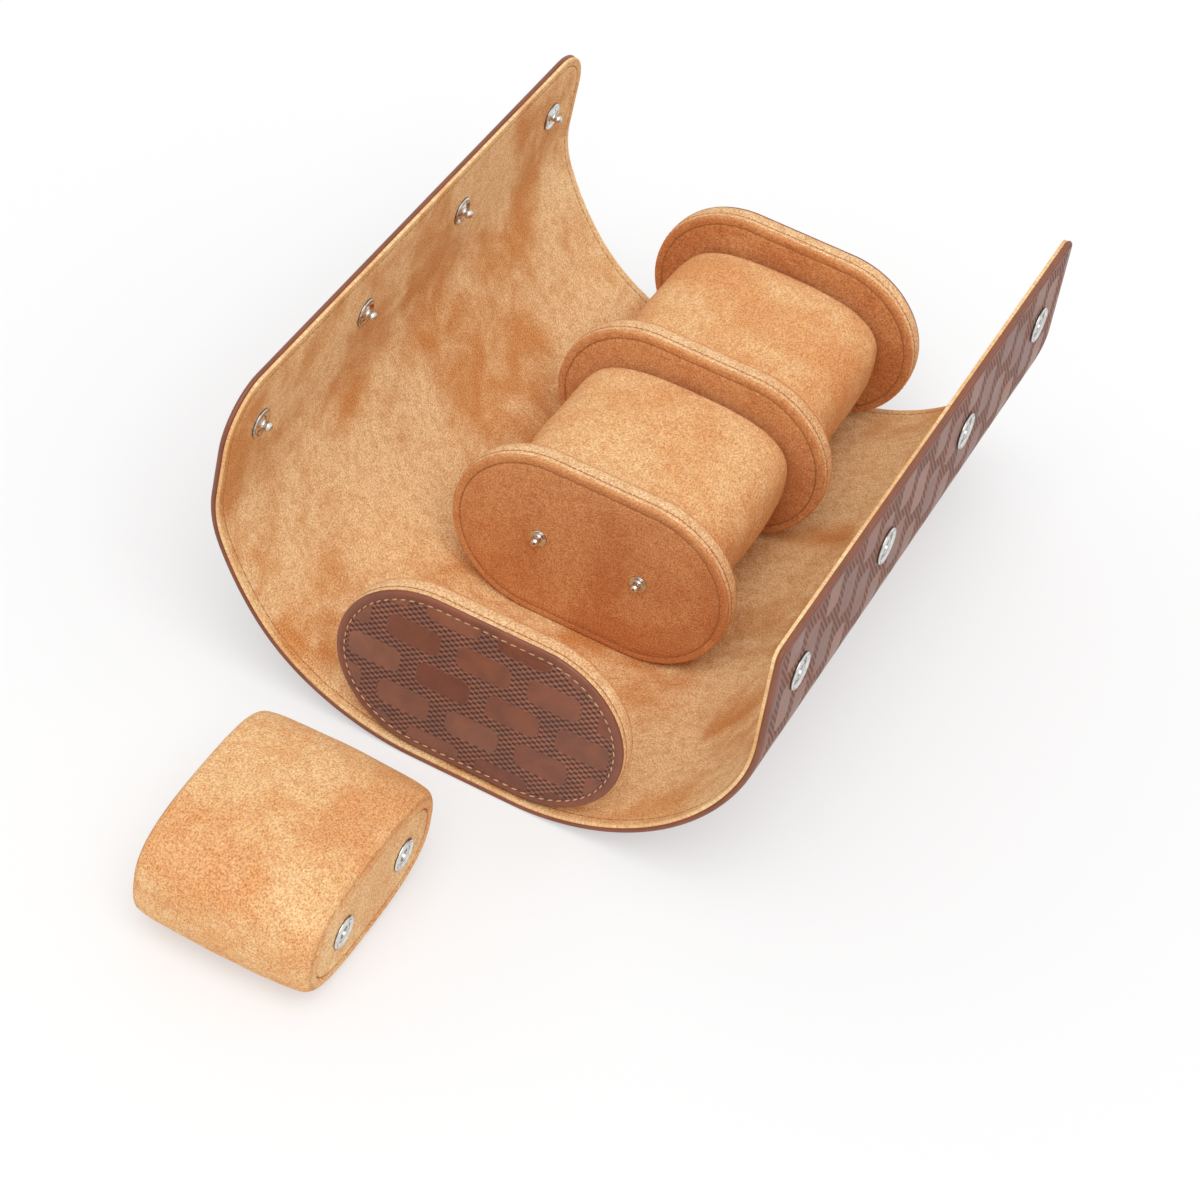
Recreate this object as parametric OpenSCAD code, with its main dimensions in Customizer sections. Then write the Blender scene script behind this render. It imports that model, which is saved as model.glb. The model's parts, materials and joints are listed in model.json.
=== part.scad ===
// Travel roll for three watches, standing open.
// A stiffened wrap carries four upright plates. Three pillows snap onto studs
// between the plates, and the two flaps of the wrap close over them and snap shut.
// The origin is on the underside of the wrap, at the middle of its length.
// X runs across the roll towards the socket flap, Y along it to the rear, Z up.

/* [Plates] */
// Width of a plate, across the roll
plate_w = 95; // [85:1:130]
// Height of a plate, which is also twice the radius of its round ends
plate_h = 61; // [50:1:75]
// Thickness of a plate over its covering
plate_t = 7.5; // [6:0.5:12]
// Thickness of the panel on each face of a plate
face_t = 1.2; // [0.6:0.1:1.6]
// Thickness of the band round the rim of a plate
rim_t = 1.2; // [0.6:0.1:2]

/* [Cover layers] */
// Thickness of the outer leather
leather_t = 1.0; // [0.6:0.1:1.6]
// Thickness of the stiffening board inside the cover
board_t = 1.2; // [0.8:0.1:2]
// Thickness of the suede lining
lining_t = 0.6; // [0.4:0.1:1.2]
// Length of cover beyond the outer face of each end plate
overhang = 1.5; // [0.5:0.1:5]
// How far the lining stops short of the cover's edge
lining_inset = 0.4; // [0.2:0.1:2]
// How far the board stops short of the cover's edge
board_inset = 1.0; // [0.5:0.1:3]

/* [Wrap] */
// Distance of the closed cover's fold lines outside the plates
wrap_gap = 2.4; // [2:0.1:4]
// Clearance between the plates and the lower of the two closed flaps
top_gap = 1.0; // [0.8:0.1:3]
// Width of the curved shoulder on each side of the flat floor
shoulder_w = 12.6; // [10:0.1:14]
// How far the fold line of a closed flap stands out beyond the shoulder
flap_out = 1.5; // [0.5:0.1:3]
// Length of the curved start of each flap
flap_bend = 17; // [12:1:22]
// How far the stud flap reaches past its studs
stud_lap = 20; // [12:1:26]
// How far the socket flap reaches past its sockets
socket_lap = 22; // [12:1:26]
// Corner radius of the stud flap
stud_corner_r = 18; // [4:1:19]
// Corner radius of the socket flap
socket_corner_r = 4; // [2:1:19]
// Width of the fold line between two panels of the cover
fold_gap = 0.5; // [0.4:0.1:1]

/* [Open shape] */
// Turn of the floor's shoulder under the stud flap, in degrees
stud_shoulder_turn = 10; // [6:1:16]
// Turns of the four panels on the stud side, from the floor up
stud_turns = [18, 22, 14, 28]; // [8:1:30]
// Turn of the floor's shoulder under the socket flap
socket_shoulder_turn = 12; // [6:1:18]
// Turns of the four panels on the socket side, from the floor up
socket_turns = [20, 20, 20, 20]; // [8:1:30]

/* [Snaps] */
// Distance between two snaps along a flap
snap_pitch = 62.5; // [40:0.5:66]
// Diameter of the ball of every stud
ball_d = 3.0; // [2.6:0.1:4]
// Distance between the two studs on a plate
pillow_snap_pitch = 34.5; // [20:0.5:40]
// Diameter of the base of a flap stud
flap_stud_d = 9.6; // [8:0.1:11]
// Diameter of the base of a plate stud
plate_stud_d = 6.0; // [5:0.1:8]
// Diameter of a flap socket over its rim
flap_socket_d = 12; // [11:0.1:14]
// Diameter of a pillow socket over its rim
pillow_socket_d = 10.5; // [9.5:0.1:12]
// Diameter of the caps on the outside of the stud flap
cap_d = 12; // [8:0.5:14]
// Height of the caps above the leather
cap_h = 1.6; // [1.2:0.1:2.4]

/* [Pillows] */
// Width of a pillow, across the roll
pillow_w = 75; // [60:1:78]
// Thickness of a pillow
pillow_h = 42; // [32:1:46]
// Length of a pillow along the roll
pillow_l = 58; // [50:0.5:70]
// Roundness of a pillow's end view, from 2 for an ellipse
pillow_power = 2.85; // [2.2:0.05:4]
// Swell of a pillow at its middle, above its ends
pillow_crown = 1.0; // [0:0.1:2]
// Radius of the rolled edges at the ends of a pillow
pillow_edge_r = 4; // [2:0.5:6]
// Thickness of a pillow's suede sleeve
sleeve_t = 1.2; // [0.8:0.1:2]
// Thickness of a pillow's end panels
end_panel_t = 1.2; // [0.8:0.1:2]
// Gap between the end of a snapped pillow and the plate it is snapped to
pillow_gap = 1.3; // [1.2:0.1:2]
// Free room in front of a snapped pillow, in which it is drawn off its studs
unsnap_room = 5.7; // [5:0.1:12]
// Place of the loose pillow across the roll
loose_x = -22; // [-60:1:60]
// Gap between the loose pillow and the front of the cover
loose_gap = 32; // [5:1:80]

/* [Hidden] */
$fn = 96;

// How far a cutting shape reaches past what it cuts
overcut = 1;

// Layers of the cover, measured outward from the face of the lining
cover_t = lining_t + board_t + leather_t;
board_at = lining_t;
leather_at = lining_t + board_t;

// Straight steps in the bend at the start of a flap
bend_steps = 8;

// Plates
plate_count = 4;
plate_pitch = plate_t + unsnap_room + pillow_l + pillow_gap;
roll_l = (plate_count - 1) * plate_pitch + plate_t;
straight_half = (plate_w - plate_h) / 2;
plate_zc = plate_h / 2;
seam_clear = 0.05;
cover_l = roll_l + 2 * overhang;

// Snaps
ball_clear = 0.4;
bore_d = ball_d + 2 * ball_clear;
neck_d = ball_d - 0.5;
barrel_wall = 0.8;
barrel_d = bore_d + 2 * barrel_wall;
fit_clear = 0.1;
post_d = 1.6;
rim_w = 0.9;
socket_plate_h = 0.3;
socket_rim_h = 1.0;
flap_stud_base_h = 0.8;
plate_stud_base_h = 0.5;
neck_h = 0.2;
snap_clear = 0.3;
eyelet_d = barrel_d + 3;
eyelet_h = 0.4;
post_into_stud = 1.6;
plate_post_l = face_t + 2.6;
pillow_plate_h = 0.4;
pillow_rim_h = 0.8;
barrel_floor = 0.4;
lap_gap = flap_stud_base_h + socket_plate_h + snap_clear;

// Pillows
oval_points = 36;
end_recess = 0.4;
end_lip = 1.0;
rest_cut = 0.5;
end_inset = pillow_edge_r + pillow_crown + end_lip;
foam_bevel = 0.45 * pillow_edge_r;
pillow_barrel_l =
    plate_stud_base_h + neck_h + ball_d + ball_clear + barrel_floor - pillow_gap - end_recess;
loose_y = -cover_l / 2 - loose_gap - pillow_w / 2;

// Each side of the cover: turn of its shoulder, turns of its panels, height of its
// closed flap above the lining, and how far the flap reaches past its snaps
stud_side = [stud_shoulder_turn, stud_turns, plate_h + top_gap + cover_t + lap_gap, stud_lap];
socket_side = [socket_shoulder_turn, socket_turns, plate_h + top_gap, socket_lap];

// Fold lines of one side when it is closed, as [distance from the middle, height].
// The first ends the shoulder, the last lets the flap lie flat on top, and the two
// between are shared out round the plate's rounded side.
function first_fold(s) =
    [straight_half + shoulder_w * cos(s[0] / 2), shoulder_w * sin(s[0] / 2)];
function last_fold(s) =
    [straight_half + shoulder_w + flap_out, s[2] - flap_bend * sin(s[1][3] / 2)];
function fold_angle(f) = atan2(f[0] - straight_half, plate_zc - f[1]);
function fold_reach(f) = norm(f - [straight_half, plate_zc]);
function middle_fold(s, k) =
    let (
        a = fold_angle(first_fold(s)),
        b = fold_angle(last_fold(s)),
        turn = a + (b - a) * k / 3,
        base = plate_h / 2 + wrap_gap,
        reach = base + (fold_reach(last_fold(s)) - base) * k / 6
    )
    [straight_half + reach * sin(turn), plate_zc - reach * cos(turn)];
function fold(s, k) = k == 1 ? first_fold(s) : k == 4 ? last_fold(s) : middle_fold(s, k - 1);

// Chord of panel 1, 2 or 3, and length of the flat part of the flap
function chord(s, k) = norm(fold(s, k + 1) - fold(s, k));
function flap_flat(s) = last_fold(s)[0] - flap_bend * cos(s[1][3] / 2) + s[3];

// A point on the open cover is [distance from the middle, height, slope]. The next one
// lies a chord further along an arc that turns by the given angle.
function along(p, len, turn) =
    [p[0] + len * cos(p[2] + turn / 2), p[1] + len * sin(p[2] + turn / 2), p[2] + turn];
function open_fold(s, k) =
    k == 1 ? along([straight_half, 0, 0], shoulder_w, s[0])
           : along(open_fold(s, k - 1), chord(s, k - 1), s[1][k - 2]);
function flap_start(s) = along(open_fold(s, 4), flap_bend, s[1][3]);

// Colours
suede = [0.80, 0.56, 0.33];
brown_leather = [0.36, 0.23, 0.18];
board_grey = [0.55, 0.50, 0.44];
foam_cream = [0.93, 0.90, 0.80];
nickel = [0.78, 0.78, 0.76];

// Cover

// Arc sector about the Y axis. It starts straight down and turns outward and up.
module ring_sector(r, near, far, from, to, len) {
    rotate([90, 0, 0])
        translate([0, 0, -len / 2])
            rotate([0, 0, from - 90])
                rotate_extrude(angle = to - from)
                    translate([r + near, 0])
                        square([far - near, len]);
}

// One layer of a bent panel that starts at point p
module bent_layer(p, len_chord, turn, near, far, len, trim_start, trim_end) {
    r = len_chord / 2 / sin(turn / 2);
    trim = asin(fold_gap / 2 / r);
    translate([p[0] - r * sin(p[2]), 0, p[1] + r * cos(p[2])])
        ring_sector(r, near, far, p[2] + trim_start * trim, p[2] + turn - trim_end * trim, len);
}

module floor_layer(near, far, inset) {
    len = cover_l - 2 * inset;
    translate([0, 0, cover_t]) {
        translate([-straight_half, -len / 2, -far])
            cube([2 * straight_half, len, far - near]);
        bent_layer([straight_half, 0, 0], shoulder_w, socket_shoulder_turn, near, far, len, 0, 1);
        mirror([1, 0, 0])
            bent_layer([straight_half, 0, 0], shoulder_w, stud_shoulder_turn, near, far, len, 0, 1);
    }
}

module panel_layer(s, k, near, far, inset) {
    translate([0, 0, cover_t])
        bent_layer(open_fold(s, k), chord(s, k), s[1][k - 1], near, far,
                   cover_l - 2 * inset, 1, 1);
}

// Section of a flap's layer: its bend in short straight steps, then its flat part
module flap_section(s, near, far, inset) {
    p = open_fold(s, 4);
    turn = s[1][3];
    r = flap_bend / 2 / sin(turn / 2);
    trim = asin(fold_gap / 2 / r);
    flat_at = flap_start(s);
    reach = flap_flat(s) - inset;
    bend = function (off)
        [for (i = [0:bend_steps])
            let (a = p[2] + trim + (turn - trim) * i / bend_steps)
            [p[0] - r * sin(p[2]) + (r + off) * sin(a), p[1] + r * cos(p[2]) - (r + off) * cos(a)]];
    tip = function (off)
        [flat_at[0] + reach * cos(flat_at[2]) + off * sin(flat_at[2]),
         flat_at[1] + reach * sin(flat_at[2]) - off * cos(flat_at[2])];
    back = bend(far);
    polygon(concat(bend(near), [tip(near), tip(far)], [for (i = [bend_steps:-1:0]) back[i]]));
}

// Takes the square corner off a slab at [x, y], which lies beside both of its edges
module corner_cut(x, y, side, r, near, far) {
    high = far - near + 2 * overcut;
    translate([x - r, side * (y - r), -far - overcut])
        difference() {
            translate([0, side > 0 ? 0 : -r - overcut, 0]) cube([r + overcut, r + overcut, high]);
            translate([0, 0, -overcut]) cylinder(r = r, h = high + 2 * overcut);
        }
}

// Children in a flap's own frame: X along it from the end of its bend, Z inward
module on_flap(s) {
    p = flap_start(s);
    translate([p[0], 0, p[1] + cover_t]) rotate([0, -p[2], 0]) children();
}

// Children at each of the snaps of a flap
module at_flap_snaps(s) {
    on_flap(s)
        for (i = [-1.5:1:1.5])
            translate([flap_flat(s) - s[3], i * snap_pitch, 0]) children();
}

module flap_layer(s, near, far, inset, corner_r, hole_d) {
    wide = cover_l - 2 * inset;
    difference() {
        translate([0, wide / 2, cover_t])
            rotate([90, 0, 0])
                linear_extrude(wide) flap_section(s, near, far, inset);
        on_flap(s)
            for (side = [-1, 1])
                corner_cut(flap_flat(s) - inset, wide / 2, side, corner_r - inset, near, far);
        at_flap_snaps(s)
            translate([0, 0, -far - overcut])
                cylinder(d = hole_d, h = far - near + 2 * overcut);
    }
}

module side_layer(s, k, near, far, inset, corner_r, hole_d) {
    if (k < 4)
        panel_layer(s, k, near, far, inset);
    else
        flap_layer(s, near, far, inset, corner_r, hole_d);
}

module stud_side_layer(k, near, far, inset) {
    mirror([1, 0, 0])
        side_layer(stud_side, k, near, far, inset, stud_corner_r, post_d + 2 * fit_clear);
}

module socket_side_layer(k, near, far, inset) {
    side_layer(socket_side, k, near, far, inset, socket_corner_r, barrel_d + 2 * fit_clear);
}

module floor_lining() {
    color(suede) floor_layer(0, lining_t, lining_inset);
}

module floor_board() {
    color(board_grey) floor_layer(board_at, leather_at, board_inset);
}

module floor_leather() {
    color(brown_leather) floor_layer(leather_at, cover_t, 0);
}

module stud_side_lining(k) {
    color(suede) stud_side_layer(k, 0, lining_t, lining_inset);
}

module stud_side_board(k) {
    color(board_grey) stud_side_layer(k, board_at, leather_at, board_inset);
}

module stud_side_leather(k) {
    color(brown_leather) stud_side_layer(k, leather_at, cover_t, 0);
}

module socket_side_lining(k) {
    color(suede) socket_side_layer(k, 0, lining_t, lining_inset);
}

module socket_side_board(k) {
    color(board_grey) socket_side_layer(k, board_at, leather_at, board_inset);
}

module socket_side_leather(k) {
    color(brown_leather) socket_side_layer(k, leather_at, cover_t, 0);
}

// Plates

// Outline of a plate, drawn in by the given amount
module stadium(inset) {
    r = plate_h / 2 - inset;
    square([2 * straight_half, 2 * r], center = true);
    for (side = [-1, 1])
        translate([side * straight_half, 0]) circle(r);
}

function plate_y(i) = -roll_l / 2 + i * plate_pitch;

// Children stand upright on the lining, and are extruded from y0 towards the rear
module upright(y0, len) {
    translate([0, y0 + len, cover_t + plate_zc])
        rotate([90, 0, 0])
            linear_extrude(len) children();
}

// Children at both studs of a plate, with Z pointing at the pillow in front of it
module at_plate_studs(i) {
    for (side = [-1, 1])
        translate([side * pillow_snap_pitch / 2, plate_y(i), cover_t + plate_zc])
            rotate([90, 0, 0]) children();
}

module stud_holes(i, depth) {
    at_plate_studs(i)
        translate([0, 0, -depth]) cylinder(d = post_d + 2 * fit_clear, h = depth + overcut);
}

module plate_rim(i) {
    color(suede)
        upright(plate_y(i), plate_t)
            difference() {
                stadium(0);
                stadium(rim_t);
            }
}

module plate_core(i) {
    color(board_grey)
        difference() {
            upright(plate_y(i) + face_t, plate_t - 2 * face_t) stadium(rim_t + seam_clear);
            if (i > 0) stud_holes(i, plate_post_l + fit_clear);
        }
}

module plate_front_face(i, tint) {
    color(tint)
        difference() {
            upright(plate_y(i), face_t) stadium(rim_t + seam_clear);
            if (i > 0) stud_holes(i, plate_post_l + fit_clear);
        }
}

module plate_rear_face(i, tint) {
    color(tint)
        upright(plate_y(i) + plate_t - face_t, face_t) stadium(rim_t + seam_clear);
}

// Snaps

// Stud that stands on Z = 0: a base disc, a neck and a ball
module stud(base_d, base_h) {
    cylinder(d = base_d, h = base_h);
    cylinder(d = neck_d, h = base_h + neck_h + ball_d / 2);
    translate([0, 0, base_h + neck_h + ball_d / 2]) sphere(d = ball_d);
}

// Socket that stands on Z = 0: a raised rim round a lower plate, without its barrel
module socket_face(rim_d, plate_high, rim_high) {
    cylinder(d = rim_d, h = plate_high);
    difference() {
        cylinder(d = rim_d, h = rim_high);
        translate([0, 0, -overcut])
            cylinder(d = rim_d - 2 * rim_w, h = rim_high + 2 * overcut);
    }
}

module plate_studs() {
    color(nickel)
        for (i = [1:3])
            at_plate_studs(i) {
                stud(plate_stud_d, plate_stud_base_h);
                translate([0, 0, -plate_post_l]) cylinder(d = post_d, h = plate_post_l + plate_stud_base_h);
            }
}

module flap_studs() {
    color(nickel)
        mirror([1, 0, 0])
            at_flap_snaps(stud_side)
                difference() {
                    stud(flap_stud_d, flap_stud_base_h);
                    translate([0, 0, -overcut])
                        cylinder(d = post_d + fit_clear, h = overcut + post_into_stud + fit_clear);
                }
}

module flap_caps() {
    cap_edge_h = cap_h / 2;
    dome_h = cap_h - cap_edge_h;
    dome_r = (pow(cap_d / 2, 2) + pow(dome_h, 2)) / (2 * dome_h);
    color(nickel)
        mirror([1, 0, 0])
            at_flap_snaps(stud_side)
                translate([0, 0, -cover_t]) {
                    mirror([0, 0, 1])
                        intersection() {
                            cylinder(d = cap_d, h = cap_h);
                            translate([0, 0, cap_h - dome_r]) sphere(dome_r);
                        }
                    translate([0, 0, -cap_edge_h / 2])
                        cylinder(d = post_d, h = cap_edge_h / 2 + cover_t + post_into_stud);
                }
}

module flap_sockets() {
    color(nickel)
        at_flap_snaps(socket_side)
            translate([0, 0, -cover_t])
                difference() {
                    union() {
                        mirror([0, 0, 1]) socket_face(flap_socket_d, socket_plate_h, socket_rim_h);
                        cylinder(d = barrel_d, h = cover_t + eyelet_h);
                    }
                    translate([0, 0, -overcut - socket_rim_h])
                        cylinder(d = bore_d, h = cover_t + eyelet_h + socket_rim_h + 2 * overcut);
                }
}

module flap_eyelets() {
    color(nickel)
        at_flap_snaps(socket_side)
            difference() {
                cylinder(d = eyelet_d, h = eyelet_h);
                translate([0, 0, -overcut])
                    cylinder(d = barrel_d + fit_clear, h = eyelet_h + 2 * overcut);
            }
}

// Pillows, each about its own middle, with the axis along Y and its sockets to the rear

function oval(inset) =
    [for (i = [0:oval_points - 1])
        let (t = (i + 0.5) * 360 / oval_points, c = cos(t), s = sin(t))
        [(pillow_w / 2 - inset) * sign(c) * pow(abs(c), 2 / pillow_power),
         (pillow_h / 2 - inset) * sign(s) * pow(abs(s), 2 / pillow_power)]];

// Closed form through rings given as [place along Y, inset of the oval]
module oval_form(rings) {
    n = oval_points;
    last = len(rings) - 1;
    polyhedron(
        points = [for (ring = rings) for (p = oval(ring[1])) [p[0], ring[0], p[1]]],
        faces = concat(
            [[for (i = [0:n - 1]) n - 1 - i]],
            [for (j = [0:last - 1]) for (i = [0:n - 1])
                [j * n + i, j * n + (i + 1) % n, (j + 1) * n + i]],
            [for (j = [0:last - 1]) for (i = [0:n - 1])
                [j * n + (i + 1) % n, (j + 1) * n + (i + 1) % n, (j + 1) * n + i]],
            [[for (i = [0:n - 1]) last * n + i]]
        )
    );
}

// The sleeve swells along its length and rolls over at both ends
function swell_inset(y) = pillow_crown * pow(2 * y / pillow_l, 2);
function half_sleeve() =
    let (half = pillow_l / 2, r = pillow_edge_r, y = (half - r) / 2)
    concat(
        [for (a = [90:-30:0]) [half - r * (1 - sin(a)), pillow_crown + r * (1 - cos(a))]],
        [[y, swell_inset(y)]]
    );
function half_foam(clear) =
    let (half = pillow_l / 2, y = (half - pillow_edge_r) / 2, gap = sleeve_t + clear)
    [[half - end_recess - end_panel_t - clear, pillow_crown + foam_bevel + gap],
     [half - pillow_edge_r, pillow_crown + gap],
     [y, swell_inset(y) + gap]];
function both_ends(half, middle) =
    concat(
        [for (ring = half) [-ring[0], ring[1]]],
        [[0, middle]],
        [for (i = [len(half) - 1:-1:0]) half[i]]
    );

module end_prism(len, inset) {
    rotate([90, 0, 0])
        linear_extrude(len, center = true) polygon(oval(inset));
}

// Children at both sockets, with Z pointing out of the pillow's rear end
module at_pillow_sockets() {
    for (side = [-1, 1])
        translate([side * pillow_snap_pitch / 2, pillow_l / 2 - end_recess, 0])
            rotate([-90, 0, 0]) children();
}

module socket_pockets() {
    at_pillow_sockets()
        translate([0, 0, -pillow_barrel_l - fit_clear])
            cylinder(d = barrel_d + 2 * fit_clear, h = pillow_barrel_l + fit_clear + overcut);
}

module sleeve() {
    half = pillow_l / 2;
    color(suede)
        difference() {
            oval_form(both_ends(half_sleeve(), 0));
            oval_form(both_ends(half_foam(0), sleeve_t));
            for (side = [-1, 1])
                translate([0, side * (half - end_panel_t), 0])
                    end_prism(4 * end_panel_t, end_inset);
        }
}

module end_panels() {
    outer = pillow_l / 2 - end_recess;
    color(suede)
        difference() {
            for (side = [-1, 1])
                translate([0, side * (outer - end_panel_t / 2), 0])
                    end_prism(end_panel_t, end_inset + seam_clear);
            socket_pockets();
        }
}

module foam() {
    color(foam_cream)
        difference() {
            oval_form(both_ends(half_foam(seam_clear), sleeve_t + seam_clear));
            socket_pockets();
        }
}

module pillow_sockets() {
    color(nickel)
        at_pillow_sockets()
            difference() {
                union() {
                    socket_face(pillow_socket_d, pillow_plate_h, pillow_rim_h);
                    translate([0, 0, -pillow_barrel_l])
                        cylinder(d = barrel_d, h = pillow_barrel_l + pillow_plate_h / 2);
                }
                translate([0, 0, barrel_floor - pillow_barrel_l])
                    cylinder(d = bore_d, h = pillow_barrel_l + pillow_rim_h + overcut);
            }
}

// The first pillow lies loose in front of the roll, the others are snapped in place
module place_pillow(k) {
    if (k == 1)
        translate([loose_x, loose_y, pillow_h / 2 - rest_cut]) rotate([0, 0, -90]) children();
    else
        translate([0, plate_y(k) - pillow_gap - pillow_l / 2, cover_t + plate_zc]) children();
}

// What the loose pillow presses flat where it lies
module above_table() {
    difference() {
        children();
        translate([-plate_w, -roll_l - plate_w, -plate_w])
            cube([2 * plate_w, roll_l + plate_w, plate_w]);
    }
}

module pillow_sleeve(k) {
    if (k == 1)
        above_table() place_pillow(k) sleeve();
    else
        place_pillow(k) sleeve();
}

floor_lining();
floor_board();
floor_leather();
for (k = [1:4]) {
    stud_side_lining(k);
    stud_side_board(k);
    stud_side_leather(k);
    socket_side_lining(k);
    socket_side_board(k);
    socket_side_leather(k);
}
plate_core(0);  // front_plate_core
plate_rim(0);  // front_plate_rim
plate_front_face(0, brown_leather);  // front_plate_front_face
plate_rear_face(0, suede);  // front_plate_rear_face
for (k = [1:2]) {
    plate_core(k);
    plate_rim(k);
    plate_front_face(k, suede);
    plate_rear_face(k, suede);
}
plate_core(3);  // rear_plate_core
plate_rim(3);  // rear_plate_rim
plate_front_face(3, suede);  // rear_plate_front_face
plate_rear_face(3, brown_leather);  // rear_plate_rear_face
plate_studs();
flap_studs();
flap_caps();
flap_sockets();
flap_eyelets();
for (k = [1:3]) {
    pillow_sleeve(k);
    place_pillow(k) end_panels();
    place_pillow(k) foam();
    place_pillow(k) pillow_sockets();
}
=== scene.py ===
"""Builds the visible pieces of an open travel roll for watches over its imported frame."""

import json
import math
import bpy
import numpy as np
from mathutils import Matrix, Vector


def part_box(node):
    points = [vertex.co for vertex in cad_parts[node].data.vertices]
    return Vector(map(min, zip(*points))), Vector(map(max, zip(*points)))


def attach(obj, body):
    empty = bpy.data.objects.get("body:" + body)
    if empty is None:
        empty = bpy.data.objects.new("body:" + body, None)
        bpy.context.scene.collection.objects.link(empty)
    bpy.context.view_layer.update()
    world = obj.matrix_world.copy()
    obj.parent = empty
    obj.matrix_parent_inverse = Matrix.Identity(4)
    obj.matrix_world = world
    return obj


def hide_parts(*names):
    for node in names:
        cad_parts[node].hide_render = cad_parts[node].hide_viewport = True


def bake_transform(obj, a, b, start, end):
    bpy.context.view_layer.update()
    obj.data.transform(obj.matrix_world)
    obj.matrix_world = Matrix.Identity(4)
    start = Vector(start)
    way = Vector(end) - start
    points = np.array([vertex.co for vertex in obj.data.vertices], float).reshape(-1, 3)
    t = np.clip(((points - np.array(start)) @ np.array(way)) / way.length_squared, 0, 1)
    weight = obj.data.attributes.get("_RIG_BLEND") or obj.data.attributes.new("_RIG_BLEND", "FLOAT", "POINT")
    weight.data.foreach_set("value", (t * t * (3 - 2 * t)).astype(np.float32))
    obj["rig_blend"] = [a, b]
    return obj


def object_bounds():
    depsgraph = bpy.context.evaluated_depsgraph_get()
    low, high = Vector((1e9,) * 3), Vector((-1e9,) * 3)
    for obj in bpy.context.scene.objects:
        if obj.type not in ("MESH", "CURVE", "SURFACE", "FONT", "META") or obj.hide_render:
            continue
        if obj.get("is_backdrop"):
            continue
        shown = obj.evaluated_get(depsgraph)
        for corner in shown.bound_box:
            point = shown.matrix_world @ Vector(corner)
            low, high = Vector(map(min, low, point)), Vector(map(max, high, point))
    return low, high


bl_info = {
    "name": "Watch Roll", "version": (1, 0, 0), "blender": (4, 5, 0),
    "location": "3D View > Sidebar > Watch Roll",
    "description": "An open travel roll for three watches, with its stage", "category": "Add Mesh",
}

import bmesh
import bpy
from bpy.props import FloatProperty, FloatVectorProperty, PointerProperty
from mathutils import Matrix, Vector, noise

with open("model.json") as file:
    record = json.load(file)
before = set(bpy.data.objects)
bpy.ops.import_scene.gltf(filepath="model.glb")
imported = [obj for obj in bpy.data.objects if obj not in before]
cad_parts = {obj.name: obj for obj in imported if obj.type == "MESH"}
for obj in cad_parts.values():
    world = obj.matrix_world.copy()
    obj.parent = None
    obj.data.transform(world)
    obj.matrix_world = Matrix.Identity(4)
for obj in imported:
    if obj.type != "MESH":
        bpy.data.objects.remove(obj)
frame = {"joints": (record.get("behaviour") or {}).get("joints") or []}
FRAME_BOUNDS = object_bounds()

MM = 0.001
SIDES = ("stud", "socket")
PLATES = ("front_plate", "divider_1", "divider_2", "rear_plate")
FOLD_REACH = 6 * MM
HOLE_RADIUS = 1.95 * MM
BEND_STEP = 2 * MM
STITCH_SINK = 0.16 * MM
END_SINK = 0.4 * MM
PLATE_SLANT = 7
THREAD_SLOT = 1
PLATE_STUD_RADIUS = 3.0 * MM
FLAP_SNAPS = (-1.5, -0.5, 0.5, 1.5)
UP = Vector((0, 0, 1))


def srgb(red, green, blue):
    """A colour as read from a screen, in the linear values that Blender keeps."""
    return tuple(
        c / 12.92 if c <= 0.04045 else ((c + 0.055) / 1.055) ** 2.4
        for c in (red / 255, green / 255, blue / 255)
    )


def length(name, description, millimetres):
    return FloatProperty(
        name=name, description=description, default=millimetres * MM, min=0, unit="LENGTH",
        precision=4,
    )


def angle(name, description, degrees):
    return FloatProperty(
        name=name, description=description, default=math.radians(degrees), subtype="ANGLE",
    )


def colour(name, description, red, green, blue):
    return FloatVectorProperty(
        name=name, description=description, default=srgb(red, green, blue), min=0, max=1,
        subtype="COLOR",
    )


class WatchRollSizes(bpy.types.PropertyGroup):
    """Sizes of the sewn and pressed details. The main sizes come from the frame."""

    flap_bend: length("Flap bend", "Length of the curved start of each flap", 17)
    stud_flap_turn: angle("Stud flap turn", "Turn of the bend of the stud flap", 28)
    socket_flap_turn: angle("Socket flap turn", "Turn of the bend of the socket flap", 20)
    stud_lap: length("Stud lap", "How far the stud flap reaches past its studs", 20)
    socket_lap: length("Socket lap", "How far the socket flap reaches past its sockets", 22)
    stud_corner: length("Stud flap corner", "Corner radius of the stud flap", 18)
    socket_corner: length("Socket flap corner", "Corner radius of the socket flap", 4)
    snap_pitch: length("Snap pitch", "Distance between two snaps along a flap", 62.5)
    lining_t: length("Lining", "Thickness of the suede lining", 1.1)
    lining_edge: length("Lining edge", "How far the lining stops short of the leather", 0.3)
    cover_round: length("Cover edge", "Roundness of the turned leather edge", 0.9)
    seam_inset: length("Seam inset", "Distance of a seam from the edge it follows", 3.0)
    stitch: length("Stitch", "Length of one stitch", 2.0)
    stitch_pitch: length("Stitch pitch", "Distance from one stitch to the next", 3.0)
    thread: length("Thread", "Thickness of the thread", 0.5)
    face_t: length("Plate panel", "Thickness of the panels on the plates", 1.2)
    pillow_edge: length("Pillow edge", "Radius of the rolled ends of a pillow", 4)
    pillow_crown: length("Pillow crown", "Swell of a pillow at its middle", 1)
    pillow_swell: length("Pillow swell", "How far the padding may push the suede out", 1.4)


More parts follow.
